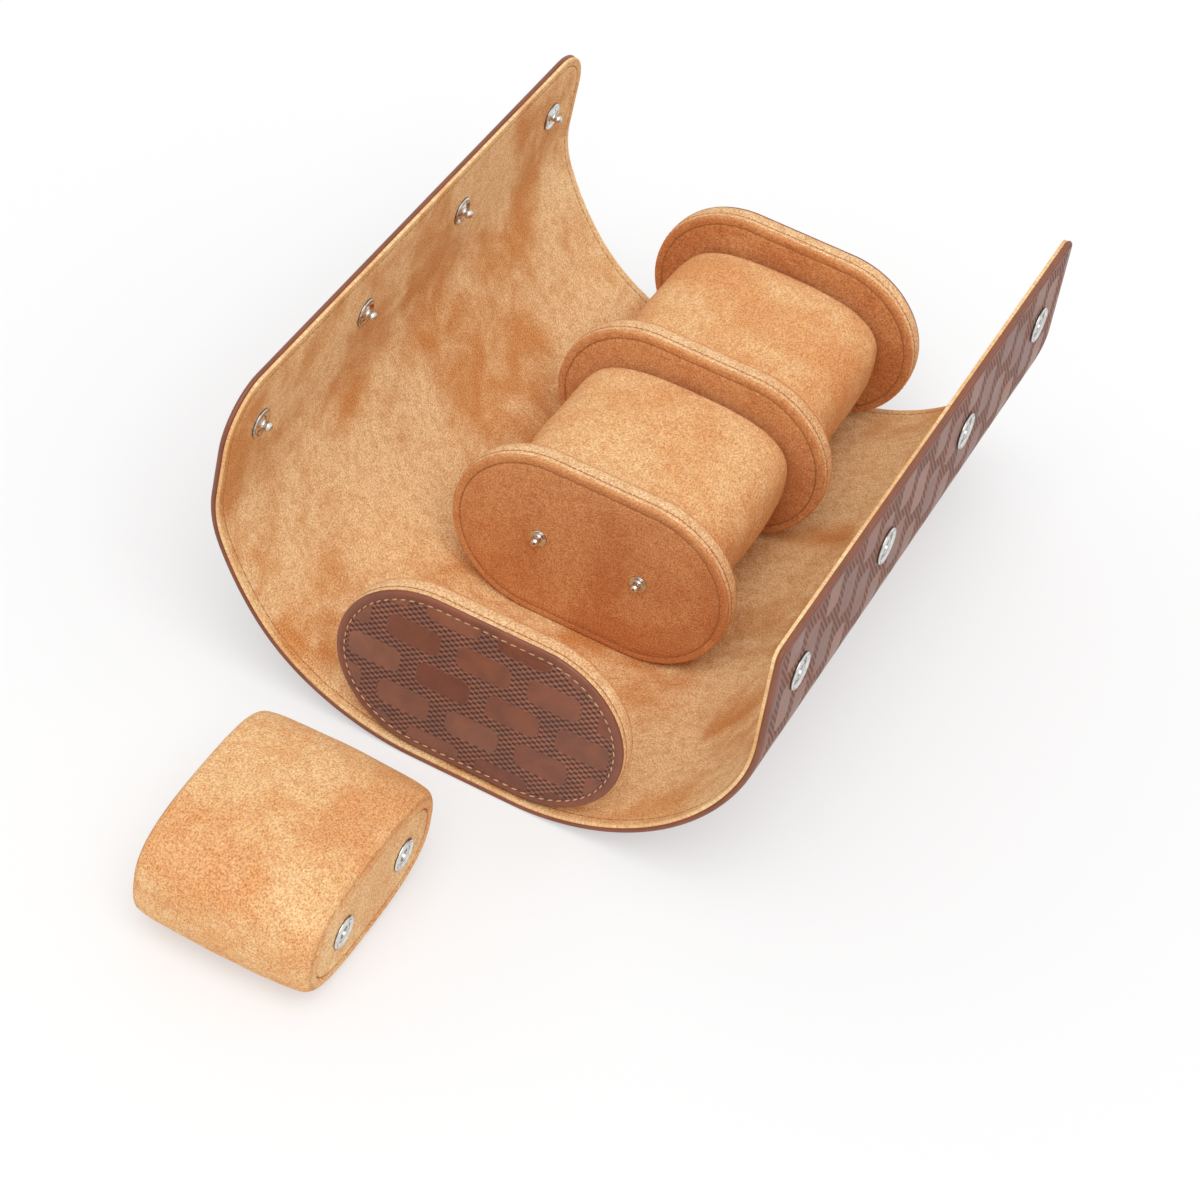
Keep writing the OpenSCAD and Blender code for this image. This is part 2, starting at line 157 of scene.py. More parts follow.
class WatchRollColours(bpy.types.PropertyGroup):
    """Colours of the suede, leather, thread and metal."""

    lining_pale: colour("Lining", "Brushed suede of the lining", 248, 209, 156)
    lining_deep: colour("Lining, dark marks", "Suede brushed the other way", 216, 146, 84)
    face_pale: colour("Plate face", "Suede on the faces of the plates", 226, 164, 110)
    face_deep: colour("Plate face, dark marks", "Dark marks on the plates", 204, 128, 76)
    band_pale: colour("Plate band", "Suede band round a plate", 244, 203, 154)
    band_deep: colour("Plate band, dark marks", "Dark marks on the band", 222, 158, 102)
    pillow_pale: colour("Pillow", "Suede of the pillows", 242, 196, 142)
    pillow_deep: colour("Pillow, dark marks", "Dark marks on the pillows", 224, 150, 90)
    leather: colour("Leather", "Smooth pressed shapes in the leather", 124, 71, 46)
    leather_ground: colour("Leather ground", "Woven ground of the leather", 152, 94, 70)
    leather_deep: colour("Leather hollows", "Hollows of the woven ground", 76, 40, 28)
    leather_edge: colour("Leather edge", "Turned edges of the leather", 126, 70, 46)
    seam_thread: colour("Seam thread", "Thread on the suede", 190, 124, 72)
    pale_thread: colour("Pale thread", "Thread on the leather", 226, 180, 140)
    nickel: colour("Nickel", "Bright metal of the snaps", 226, 224, 220)


class WatchRollStage(bpy.types.PropertyGroup):
    """Camera, light and floor."""

    lens: FloatProperty(
        name="Lens", description="Focal length of the camera, in millimetres", default=106.77
    )
    azimuth: angle("Azimuth", "Turn of the camera about the vertical", 17.81)
    elevation: angle("Elevation", "Height of the camera above the level", 43.30)
    roll: angle("Roll", "Roll of the camera", 12.6)
    eye: FloatVectorProperty(
        name="Eye", description="Place of the camera", default=(0.2514, -0.7972, 0.7704),
        subtype="TRANSLATION", unit="LENGTH",
    )
    sky: FloatProperty(name="Sky", description="Strength of the even light", default=0.70)
    sun: FloatProperty(name="Sun", description="Strength of the soft lamp", default=1.75)
    floor_colour: colour("Floor", "Colour of the floor", 250, 250, 250)
    floor_glow: FloatProperty(
        name="Floor glow", description="How much the seen floor hides its shadows", default=0.48
    )


# Shader nodes


def scaled(colour, factor):
    """A lighter or darker colour."""
    return tuple(min(1, c * factor) for c in colour)


def made_once(store):
    """Hands out again what a builder has already made under its name."""

    def wrap(build):
        def find_or_build(name, *values, **settings):
            return getattr(bpy.data, store).get(name) or build(name, *values, **settings)

        return find_or_build

    return wrap


class Tree:
    """A node tree with short calls for the nodes that the finishes use."""

    def __init__(self, tree):
        self.tree = tree

    def put(self, socket, value):
        """Links a socket or sets its value. A colour may come without its alpha."""
        if isinstance(value, bpy.types.NodeSocket):
            self.tree.links.new(value, socket)
        elif socket.type == "RGBA" and len(value) == 3:
            socket.default_value = (*value, 1)
        else:
            socket.default_value = value

    def fill(self, node, values):
        """Puts a value in each named input of a node."""
        for key, value in values.items():
            self.put(node.inputs[key], value)
        return node

    def add(self, kind, values=(), **settings):
        made = self.tree.nodes.new("ShaderNode" + kind)
        for key, value in settings.items():
            setattr(made, key, value)
        return self.fill(made, dict(values))

    def math(self, operation, *values):
        return self.add("Math", enumerate(values), operation=operation).outputs[0]

    def plus(self, first, second):
        return self.math("ADD", first, second)

    def minus(self, first, second):
        return self.math("SUBTRACT", first, second)

    def times(self, first, second):
        return self.math("MULTIPLY", first, second)

    def stretch(self, where, factors):
        values = {0: where, 1: factors}
        return self.add("VectorMath", values, operation="MULTIPLY").outputs[0]

    def mix(self, factor, first, second, blend="MIX"):
        values = {0: factor, 6: first, 7: second}
        return self.add("Mix", values, data_type="RGBA", blend_type=blend).outputs[2]

    def grey(self, red, others):
        """A colour from a red value and one value for green and blue."""
        return self.add("CombineColor", {"Red": red, "Green": others, "Blue": others}).outputs[0]

    def fade(self, value, low, high, at_low=0.0, at_high=1.0):
        values = enumerate((value, low, high, at_low, at_high))
        return self.add("MapRange", values, interpolation_type="SMOOTHSTEP").outputs[0]

    def noise(self, *values):
        """Noise from a place, scale, detail, roughness and distortion."""
        names = ("Vector", "Scale", "Detail", "Roughness", "Distortion")
        return self.add("TexNoise", zip(names, values)).outputs[0]

    def bump(self, height, strength, distance):
        values = {"Strength": strength, "Distance": distance, "Height": height}
        return self.add("Bump", values).outputs[0]

    def attribute(self, name):
        return self.add("Attribute", attribute_name=name).outputs["Fac"]


def node_group(name, inputs, outputs):
    """An empty node group as (group, Tree, the sockets it reads, its output node)."""
    group = bpy.data.node_groups.new(name, "ShaderNodeTree")
    for in_out, sockets in (("INPUT", inputs), ("OUTPUT", outputs)):
        for label, kind in sockets.items():
            group.interface.new_socket(label, in_out=in_out, socket_type="NodeSocket" + kind)
    source = group.nodes.new("NodeGroupInput").outputs
    return group, Tree(group), source, group.nodes.new("NodeGroupOutput")


@made_once("node_groups")
def suede_group(name):
    """Brushed nap: broad marks, mottling, streaks and fine fibres."""
    group, tree, source, target = node_group(
        name, {"Vector": "Vector", "Pale": "Color", "Deep": "Color", "Marks": "Float"},
        {"Color": "Color", "Roughness": "Float", "Height": "Float"},
    )
    where = source["Vector"]
    broad = tree.noise(where, 20, 3, 0.55, 0.5)
    patch = tree.noise(where, 60, 4, 0.6, 0.6)
    mottle = tree.noise(where, 300, 3, 0.6, 0.4)
    streak = tree.noise(tree.stretch(where, (2300, 1200, 1900)), 1, 2, 0.6, 0.4)
    fibre = tree.noise(where, 1700, 2, 0.6, 0.3)
    marks = tree.fade(tree.plus(tree.times(broad, 0.64), tree.times(patch, 0.36)), 0.43, 0.63)
    base = tree.mix(tree.times(marks, source["Marks"]), source["Pale"], source["Deep"])
    base = tree.mix(tree.fade(mottle, 0.42, 0.66, 0.0, 0.4), base, source["Deep"])
    fibre_light = tree.fade(fibre, 0.36, 0.62, 0.72, 1.18)
    light = tree.plus(fibre_light, tree.fade(streak, 0.38, 0.62, -0.18, 0.16))
    warmth = tree.plus(tree.times(light, 0.6), 0.4)
    finish = {
        "Color": tree.mix(1.0, base, tree.grey(warmth, light), "MULTIPLY"),
        "Roughness": tree.fade(fibre, 0.3, 0.7, 0.88, 1.0),
        "Height": tree.plus(tree.times(fibre, 0.5), tree.times(streak, 0.5)),
    }
    tree.fill(target, finish)
    return group


@made_once("node_groups")
def bond_group(name):
    """Smooth rounded bars in running bond on a woven ground."""
    group, tree, source, target = node_group(
        name, {"Vector": "Vector"},
        {"Bar": "Float", "Tone": "Float", "Weave": "Float", "Height": "Float"},
    )
    pitch = Vector((23 * MM, 13.5 * MM))
    half = Vector((8.6 * MM, 4.7 * MM))
    corner, soft = 2.8 * MM, 0.15 * MM
    weft_pitch, warp_pitch = 2.9 * MM, 2.1 * MM
    rows_below = 400.0  # even, and keeps the count of rows above zero
    across, up, _ = tree.add("SeparateXYZ", {"Vector": source["Vector"]}).outputs
    rows = tree.math("DIVIDE", up, pitch.y)
    row = tree.math("FLOOR", rows)
    shift = tree.times(tree.math("MODULO", tree.plus(row, rows_below), 2.0), 0.5)
    columns = tree.plus(tree.math("DIVIDE", across, pitch.x), shift)
    column = tree.math("FLOOR", columns)
    squares = []
    for place, start, size, reach in (
        (columns, column, pitch.x, half.x),
        (rows, row, pitch.y, half.y),
    ):
        local = tree.minus(tree.minus(place, start), 0.5)
        local = tree.times(tree.math("ABSOLUTE", local), size)
        past = tree.math("MAXIMUM", tree.minus(local, reach - corner), 0.0)
        squares.append(tree.times(past, past))
    bar = tree.math("SQRT", tree.plus(*squares))
    bar = tree.fade(bar, corner - soft, corner + soft, 1.0, 0.0)
    cell = tree.add("CombineXYZ", {"X": column, "Y": row}).outputs[0]
    tone = tree.add("TexWhiteNoise", {"Vector": cell}, noise_dimensions="2D")
    weft = tree.math("SINE", tree.times(across, 2 * math.pi / weft_pitch))
    warp = tree.math("SINE", tree.times(up, 2 * math.pi / warp_pitch))
    weave = tree.fade(tree.times(weft, warp), -0.42, 0.32)
    ground = tree.times(weave, tree.minus(1.0, bar))
    height = tree.plus(tree.times(bar, 0.9), ground)
    finish = {"Bar": bar, "Tone": tone.outputs["Value"], "Weave": weave, "Height": height}
    tree.fill(target, finish)
    return group


@made_once("node_groups")
def leather_group(name):
    """Fine closed grain with soft creases."""
    group, tree, source, target = node_group(
        name, {"Vector": "Vector"}, {"Mottle": "Float", "Height": "Float"}
    )
    where = source["Vector"]
    cells = {"Vector": where, "Scale": 1500.0, "Randomness": 1.0}
    cells = tree.add("TexVoronoi", cells, feature="DISTANCE_TO_EDGE").outputs["Distance"]
    grain = tree.fade(cells, 0.0, 0.25)
    crease = tree.noise(where, 420, 3, 0.55, 0.6)
    height = tree.plus(tree.times(grain, 0.5), tree.times(crease, 0.5))
    tree.fill(target, {"Mottle": tree.noise(where, 95, 3, 0.6, 0.5), "Height": height})
    return group


def new_material(name):
    """A fresh material as (material, Tree, shader node)."""
    material = bpy.data.materials.new(name)
    material.use_nodes = True
    return material, Tree(material.node_tree), material.node_tree.nodes["Principled BSDF"]


def coordinates(tree, flat=False):
    """Flat pattern coordinates for bent sheets, object coordinates for other pieces."""
    if flat:
        return tree.add("UVMap", uv_map="flat").outputs[0]
    return tree.add("TexCoord").outputs["Object"]


@made_once("materials")
def suede(name, pale, deep, marks, flat=False):
    """Suede, darker where the mesh marks a seam: partly the pressed seam's own colour, partly painted shade
    in its groove and in tucked rims.
    """
    material, tree, shader = new_material(name)
    inputs = {"Vector": coordinates(tree, flat), "Pale": pale, "Deep": deep, "Marks": marks}
    nap = tree.add("Group", inputs, node_tree=suede_group("Brushed nap")).outputs
    bright = scaled(pale, 1.12)
    # Darker along the seam mark: partly the seam's own colour, partly painted shade.
    seam = tree.times(tree.attribute("seam"), 0.55)
    worn = tree.times(tree.attribute("wear"), 0.45)
    base = tree.mix(seam, nap["Color"], scaled(deep, 0.42))
    finish = {
        "Base Color": tree.mix(worn, base, bright), "Roughness": nap["Roughness"],
        "Normal": tree.bump(nap["Height"], 1.0, 0.9 * MM), "Specular IOR Level": 0.12,
        "Sheen Weight": 0.22, "Sheen Roughness": 0.4, "Sheen Tint": bright,
    }
    tree.fill(shader, finish)
    return material


@made_once("materials")
def pressed_leather(name, colours):
    """Leather with the pressed bars, plain and smooth along its turned edge."""
    material, tree, shader = new_material(name)
    where = {"Vector": coordinates(tree, True)}
    bars = tree.add("Group", where, node_tree=bond_group("Pressed bars")).outputs
    grain = tree.add("Group", where, node_tree=leather_group("Leather grain")).outputs
    plain = tree.attribute("plain")
    ground = tree.mix(bars["Weave"], colours.leather_deep, colours.leather_ground)
    # Each bar takes a random tone between a warm brown and a pale mauve; the mauve is partly the leather's
    # own tone, partly painted sheen.
    warm = tuple(c * k for c, k in zip(colours.leather, (0.84, 0.62, 0.50)))
    mauve_tone_and_sheen = tuple(c * k for c, k in zip(colours.leather, (1.3, 1.40, 1.52)))
    base = tree.mix(bars["Bar"], ground, tree.mix(bars["Tone"], mauve_tone_and_sheen, warm))
    base = tree.mix(plain, base, colours.leather_edge)
    mottle = tree.fade(grain["Mottle"], 0.3, 0.7, 0.82, 1.14)
    base = tree.mix(1.0, base, tree.grey(mottle, mottle), "MULTIPLY")
    worn = tree.times(tree.attribute("wear"), 0.3)
    smooth = tree.fade(tree.math("MAXIMUM", bars["Bar"], plain), 0.0, 1.0, 0.60, 0.36)
    uneven = tree.times(tree.minus(grain["Mottle"], 0.5), 0.25)
    pattern = tree.times(bars["Height"], tree.minus(1.0, plain))
    height = tree.plus(pattern, tree.times(grain["Height"], 0.28))
    finish = {
        "Base Color": tree.mix(worn, base, scaled(colours.leather_edge, 1.5)),
        "Roughness": tree.plus(smooth, uneven), "Normal": tree.bump(height, 0.9, 0.36 * MM),
        "Specular IOR Level": 0.45,
    }
    tree.fill(shader, finish)
    return material


@made_once("materials")
def thread(name, tint):
    """Twisted sewing thread."""
    material, tree, shader = new_material(name)
    ply = tree.noise(coordinates(tree), 2600, 2, 0.6, 0.4)
    finish = {
        "Base Color": tree.mix(tree.fade(ply, 0.3, 0.7), scaled(tint, 0.6), tint),
        "Roughness": tree.fade(ply, 0.3, 0.7, 0.85, 0.65), "Normal": tree.bump(ply, 0.5, 0.15 * MM),
        "Specular IOR Level": 0.3,
    }
    tree.fill(shader, finish)
    return material


@made_once("materials")
def polished(name, tint):
    """Bright nickel plate with fine handling marks, with painted shade on sides seen edge-on and where the
    mesh marks it, in holes and at feet.
    """
    material, tree, shader = new_material(name)
    where = coordinates(tree)
    haze = tree.noise(where, 700, 3, 0.6, 0.5)
    scratch = tree.noise(tree.stretch(where, (4000, 500, 1400)), 1, 2, 0.7, 0.2)
    # Painted shade: darker where a face is seen edge-on, and where the seam mark holds the painted shade of
    # holes and feet.
    turned_away = tree.add("LayerWeight", {"Blend": 0.5}).outputs["Facing"]
    shadow = tree.fade(turned_away, 0.62, 0.95, 0.0, 0.9)
    shadow = tree.math("MAXIMUM", shadow, tree.attribute("seam"))
    base = tree.mix(tree.fade(haze, 0.35, 0.7), tint, scaled(tint, 0.82))
    rough = tree.fade(haze, 0.3, 0.7, 0.10, 0.24)
    finish = {
        "Base Color": tree.mix(shadow, base, scaled(tint, 0.05)),
        "Roughness": tree.plus(rough, tree.fade(scratch, 0.55, 0.75, 0.0, 0.12)),
        "Normal": tree.bump(scratch, 0.12, 0.05 * MM), "Metallic": 1.0,
    }
    tree.fill(shader, finish)
    return material


# Meshes


def new_object(name, bm):
    """Puts a bmesh into the scene as an object, and frees it."""
    mesh = bpy.data.meshes.new(name)
    bm.to_mesh(mesh)
    bm.free()
    made = bpy.data.objects.new(name, mesh)
    bpy.context.scene.collection.objects.link(made)
    return made


def make_piece(name, bm, slot, *materials):
    """Turns a finished bmesh into a piece with its materials."""
    for face in bm.faces:
        face.smooth = True
    piece = new_object(name, bm)
    for material in materials:
        piece.data.materials.append(material)
    return piece


def mark(bm, name):
    """The named number that the finishes read at each vertex."""
    layers = bm.verts.layers.float
    return layers.get(name) or layers.new(name)


def rounded_path(width, height, radius, steps=14):
    """Points round a rectangle with round corners, about its own middle."""
    points = []
    for quarter, (x, y) in enumerate(((1, 1), (-1, 1), (-1, -1), (1, -1))):
        centre = Vector((x * (width / 2 - radius), y * (height / 2 - radius)))
        for step in range(steps + 1):
            turn = (quarter + step / steps) * math.pi / 2
            points.append(centre + radius * Vector((math.cos(turn), math.sin(turn))))
    return points


def walk(points, pitch):
    """Evenly spaced places round a closed path, each with the direction there."""
    ends = points[1:] + points[:1]
    spans = [(b - a).length for a, b in zip(points, ends)]
    step = sum(spans) / round(sum(spans) / pitch)
    done, due = 0.0, step / 2
    for a, b, span in zip(points, ends, spans):
        while span and due <= done + span:
            yield a.lerp(b, (due - done) / span), (b - a).normalized()
            due += step
        done += span


def add_stitches(bm, stitches, sizes):
    """Stitches from (place, direction, outward), made in batches because that is faster."""
    batch = 40
    scale = Matrix.Diagonal((sizes.thread / 2, sizes.thread / 2, sizes.stitch / 2, 1))
    for first in range(0, len(stitches), batch):
        some = bmesh.new()
        for at, along, up in stitches[first : first + batch]:
            side = up.cross(along).normalized()
            turn = Matrix((side, up, along)).transposed().to_4x4()
            place = Matrix.Translation(at) @ turn @ scale
            bmesh.ops.create_uvsphere(some, u_segments=6, v_segments=5, radius=1, matrix=place)
        for face in some.faces:
            face.material_index = THREAD_SLOT
        mesh = bpy.data.meshes.new("stitches")
        some.to_mesh(mesh)
        some.free()
        bm.from_mesh(mesh)
        bpy.data.meshes.remove(mesh)


def slanted(stitches, degrees):
    """The same stitches, each turned about its outward direction."""
    turn = math.radians(degrees)
    return [(at, Matrix.Rotation(turn, 3, up) @ along, up) for at, along, up in stitches]


def bevel(bm, parts, offset, segments=3, affect="EDGES"):
    """Rounds edges or corners."""
    bmesh.ops.bevel(
        bm, geom=parts, offset=offset, affect=affect, segments=segments, profile=0.5,
        material=-1, clamp_overlap=affect == "EDGES",
    )


def only(kind, made):
    """The verts or the edges of what an operator has made."""
    return [part for part in made["geom"] if isinstance(part, kind)]


def thicken(bm, by):
    """Gives a flat sheet its thickness, along a vector."""
    made = bmesh.ops.extrude_face_region(bm, geom=bm.faces[:])
    bmesh.ops.translate(bm, vec=by, verts=only(bmesh.types.BMVert, made))
    bmesh.ops.recalc_face_normals(bm, faces=bm.faces)


def circle(bm, segments, radius, place, half_step=True):
    """A ring that faces along the roll, as (verts, edges)."""
    matrix = place @ Matrix.Rotation(math.pi / 2, 4, "X")
    if half_step:
        matrix = Matrix.Rotation(math.pi / segments, 4, "Y") @ matrix
    verts = bmesh.ops.create_circle(bm, segments=segments, radius=radius, matrix=matrix)["verts"]
    return verts, list({edge for vert in verts for edge in vert.link_edges})


def extrude_ring(bm, edges):
    """Grows a new ring from a ring of edges, as (verts, edges)."""
    made = bmesh.ops.extrude_edge_only(bm, edges=edges)
    return only(bmesh.types.BMVert, made), only(bmesh.types.BMEdge, made)


def inset_rings(bm, face, steps):
    """Insets a face again and again by (width, lift, marks at the new ring)."""
    for width, lift, marks in steps:
        bmesh.ops.inset_region(bm, faces=[face], thickness=width, depth=0, use_even_offset=True)
        if lift:
            bmesh.ops.translate(bm, vec=face.normal * lift, verts=face.verts)
        for name, value in marks.items():
            layer = mark(bm, name)
            for vert in face.verts:
                vert[layer] = value


# Cover


class Side:
    """One side of the wrap, followed from the middle of the floor to the tip of its flap."""

    def __init__(self, name, sizes):
        self.name = name
        self.sign = -1 if name == "stud" else 1
        low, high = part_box("divider_1_rim")
        self.cover_t = low.z
        self.spans = []
        self.length = 0.0
        self.place = (0.0, low.z, 0.0)
        self.go(((high.x - low.x) - (high.z - low.z)) / 2, 0.0)
        self.folds = []
        found = {joint["name"]: joint["pos_m"] for joint in frame["joints"] if "pos_m" in joint}
        for k in (1, 2, 3, 4):
            x, _, z = found[f"{name}_fold_{k}"]
            across, rise = abs(x) - self.place[0], z - self.place[1]
            turn = 2 * (math.atan2(rise, across) - self.place[2])
            self.go(math.hypot(across, rise), turn)
            self.folds.append(self.length)
        self.go(sizes.flap_bend, getattr(sizes, name + "_flap_turn"))
        self.flat_from = self.length
        lean = self.place[2]
        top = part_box(f"{name}_side_leather_4")[1].z
        self.go((top - self.place[1] + self.cover_t * math.cos(lean)) / math.sin(lean), 0.0)
        self.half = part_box("floor_leather")[1].y
        self.corner = getattr(sizes, name + "_corner")
        self.snaps_at = self.length - getattr(sizes, name + "_lap")

    def go(self, chord, turn):
        """Adds an arc over the given chord, or a straight run where it doesn't turn."""
        x, z, slope = self.place
        radius = chord / 2 / math.sin(turn / 2) if turn else 0.0
        run = radius * turn if turn else chord
        self.spans.append((self.length, x, z, slope, radius, run))
        heading = slope + turn / 2
        self.length += run
        self.place = (x + chord * math.cos(heading), z + chord * math.sin(heading), slope + turn)

    def at(self, run, out=0.0, y=0.0):
        """Point at a run along the cover and out from its lining's face, with the slope there."""
        start, x, z, slope, radius, _ = [s for s in self.spans if s[0] <= max(run, 0)][-1]
        if radius:
            slope_here = slope + (run - start) / radius
            x += radius * (math.sin(slope_here) - math.sin(slope))
            z += radius * (math.cos(slope) - math.cos(slope_here))
        else:
            slope_here = slope
            x += (run - start) * math.cos(slope)
            z += (run - start) * math.sin(slope)
        x += out * math.sin(slope_here)
        z -= out * math.cos(slope_here)
        return Vector((self.sign * x, y, z)), slope_here

    def wrap(self, bm):
        """Bends a flat pattern, drawn as (run, y, inward), round this side."""
        layer = bm.loops.layers.uv.new("flat")
        for face in bm.faces:
            for loop in face.loops:
                loop[layer].uv = (self.sign * loop.vert.co.x, loop.vert.co.y)
        for vert in bm.verts:
            vert.co = self.at(vert.co.x, -vert.co.z, vert.co.y)[0]
        if self.sign < 0:
            bmesh.ops.reverse_faces(bm, faces=bm.faces)

    def frame_at(self, run, out, y, inward):
        """Matrix for a snap that stands on the cover, facing in or out."""
        point, slope = self.at(run, out, y)
        normal = Vector((-self.sign * math.sin(slope), 0, math.cos(slope)))
        if not inward:
            normal = -normal
        return Matrix.Translation(point) @ UP.rotation_difference(normal).to_matrix().to_4x4()

    def cuts(self):
        """Where the pieces of a layer meet: halfway between one fold and the next."""
        ends = [0.0] + [(a + b) / 2 for a, b in zip(self.folds, self.folds[1:])] + [self.length]
        return list(zip(ends, ends[1:]))


def flat_sheet(side, inset, low, high, rounding):
    """The flat pattern of one layer of a side, with a little more past the middle."""
    spare = 20 * MM
    tip = side.length - inset
    bm = bmesh.new()
    bmesh.ops.create_grid(bm, x_segments=1, y_segments=1, size=1)
    bmesh.ops.scale(bm, vec=((tip + spare) / 2, side.half - inset, 1), verts=bm.verts)
    bmesh.ops.translate(bm, vec=((tip - spare) / 2, 0, high), verts=bm.verts)
    corners = [v for v in bm.verts if v.co.x > 0]
    bevel(bm, corners, max(side.corner - inset, 1 * MM), 12, "VERTICES")
    thicken(bm, (0, 0, low - high))
    level = [e for e in bm.edges if abs(e.verts[0].co.z - e.verts[1].co.z) < 1e-6]
    bevel(bm, level, rounding)
    bmesh.ops.remove_doubles(bm, verts=bm.verts, dist=1e-6)
    return bm


def face_at(bm, z, up):
    """The widest face that lies at a height and looks up or down."""
    level = (f for f in bm.faces if abs(f.calc_center_median().z - z) < 1e-6)
    return max((f for f in level if f.normal.z * up > 0.9), key=lambda f: f.calc_area())


def cut_across(bm, run, keep_low=False, keep_high=False):
    """Cuts a flat pattern across at a run, and may keep what lies on one side only."""
    bmesh.ops.bisect_plane(
        bm, geom=bm.verts[:] + bm.edges[:] + bm.faces[:], plane_co=(run, 0, 0),
        plane_no=(1, 0, 0), clear_inner=keep_high, clear_outer=keep_low,
    )


def punch(bm, places, radius):
    """A new bmesh of the flat pattern with round holes through it."""
    tool = bmesh.new()
    for x, y in places:
        bmesh.ops.create_cone(
            tool, cap_ends=True, segments=32, radius1=radius, radius2=radius,
            depth=20 * MM, matrix=Matrix.Translation((x, y, 0)),
        )
    pattern, punches = new_object("pattern", bm), new_object("punches", tool)
    holes = pattern.modifiers.new("Holes", "BOOLEAN")
    holes.object = punches
    holes.solver = "EXACT"
    holes.operation = "DIFFERENCE"
    made = pattern.evaluated_get(bpy.context.evaluated_depsgraph_get())
    made = bpy.data.meshes.new_from_object(made)
    bm = bmesh.new()
    bm.from_mesh(made)
    for mesh in (made, pattern.data, punches.data):
        bpy.data.meshes.remove(mesh)
    for face in bm.faces:
        middle = face.calc_center_median()
        if any(math.hypot(middle.x - x, middle.y - y) < radius * 1.001 for x, y in places):
            for edge in face.edges:
                if edge.verts[0].co.z == edge.verts[1].co.z or edge.calc_length() < 0.5 * MM:
                    edge.smooth = False
    return bm


def seam_path(side, inset, height, up, pitch):
    """Stitches that follow the edge of a side at an inset, as (place, direction, up)."""
    reach = 2 * (side.length - inset)
    wide = 2 * (side.half - inset)
    path = rounded_path(reach, wide, max(side.corner - inset, 1 * MM))
    return [
        (Vector((at.x, at.y, height)), Vector((along.x, along.y, 0)), up)
        for at, along in walk(path, pitch) if at.x > 0
    ]


def layer_pieces(side, bm, stitches, sizes, layer, nodes, slot, materials):
    """Cuts a layer's pattern into a piece for each fold, and bends each softly over it."""
    if side.name == "socket":
        bm = punch(bm, [(side.snaps_at, y * sizes.snap_pitch) for y in FLAP_SNAPS], HOLE_RADIUS)
    bodies = ["tray"] + [f"{side.name}_panel_{n}" for n in (1, 2, 3)] + [f"{side.name}_flap"]
    for k, (start, end) in enumerate(side.cuts(), 1):
        part = bm.copy()
        cut_across(part, start, keep_high=True)
        if k < 4:
            cut_across(part, end, keep_low=True)
        run = start + BEND_STEP
        while run < min(end, side.flat_from + 2 * BEND_STEP):
            cut_across(part, run)
            run += BEND_STEP
        add_stitches(part, [one for one in stitches if start <= one[0].x < end], sizes)
        side.wrap(part)
        piece = make_piece(f"cover_{layer}_{side.name}_{k}", part, slot, *materials)
        replaced = [f"{side.name}_side_{node}_{k}" for node in nodes]
        if k == 1:
            replaced += ["floor_" + node for node in nodes]
        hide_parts(*replaced)
        fold = side.folds[k - 1]
        near, far = (side.at(fold + reach)[0] for reach in (-FOLD_REACH, FOLD_REACH))
        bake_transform(piece, bodies[k - 1], bodies[k], near, far)
    bm.free()


def build_leather(sizes, colours):
    """Outer leather, turned over the board at its edges."""
    pressed = pressed_leather("Pressed leather", colours)
    finishes = pressed, thread("Edge thread", colours.leather_edge)
    for name in SIDES:
        side = Side(name, sizes)
        low, high = -side.cover_t, -sizes.lining_t
        bm = flat_sheet(side, 0.0, low, high, sizes.cover_round)
        worn, plain = mark(bm, "wear"), mark(bm, "plain")
        outer, inner = face_at(bm, low, -1), face_at(bm, high, 1)
        for vert in bm.verts:
            vert[plain] = 1.0
            if low + 0.1 * MM < vert.co.z < high - 0.1 * MM:
                vert[worn] = 0.6
        inset_rings(bm, inner, [(2 * MM, 0, {})])
        edge_rings = (
            (1.0 * MM, 0, {"wear": 0.0}), (1.2 * MM, 0.08 * MM, {"plain": 0.0}),
            (min(4 * MM, side.corner - 3.3 * MM), 0, {}),
        )
        inset_rings(bm, outer, edge_rings)
        cord = slanted(seam_path(side, 1.3 * MM, low + STITCH_SINK, -UP, 0.9 * MM), 62)
        nodes = ("leather", "board")
        layer_pieces(side, bm, cord, sizes, "leather", nodes, "leather", finishes)


def build_lining(sizes, colours):
    """Suede lining, stitched down along its edge."""
    nap = suede("Lining suede", colours.lining_pale, colours.lining_deep, 1.0, flat=True)
    finishes = nap, thread("Seam thread", colours.seam_thread)
    groove, wide = 0.1 * MM, 0.35 * MM
    for name in SIDES:
        side = Side(name, sizes)
        bm = flat_sheet(side, sizes.lining_edge, -sizes.lining_t, 0.0, 0.22 * MM)
        worn = mark(bm, "wear")
        for vert in bm.verts:
            vert[worn] = 0.8
        # The groove ring is marked as seam, which the suede darkens: partly the pressed seam's colour,
        # partly painted shade in the groove.
        edge_rings = (
            (0.8 * MM, 0, {"wear": 0.0}),
            (sizes.seam_inset - sizes.lining_edge - 1.0 * MM - wide, 0, {}),
            (wide, -groove, {"seam": 1.0}), (wide, groove, {"seam": 0.0}),
            (min(2.2 * MM, side.corner - sizes.seam_inset - 0.7 * MM), 0, {}),
        )
        inset_rings(bm, face_at(bm, 0.0, 1), edge_rings)
        seam = seam_path(side, sizes.seam_inset, -STITCH_SINK, UP, sizes.stitch_pitch)
        layer_pieces(side, bm, seam, sizes, "lining", ("lining",), "suede", finishes)


# Plates


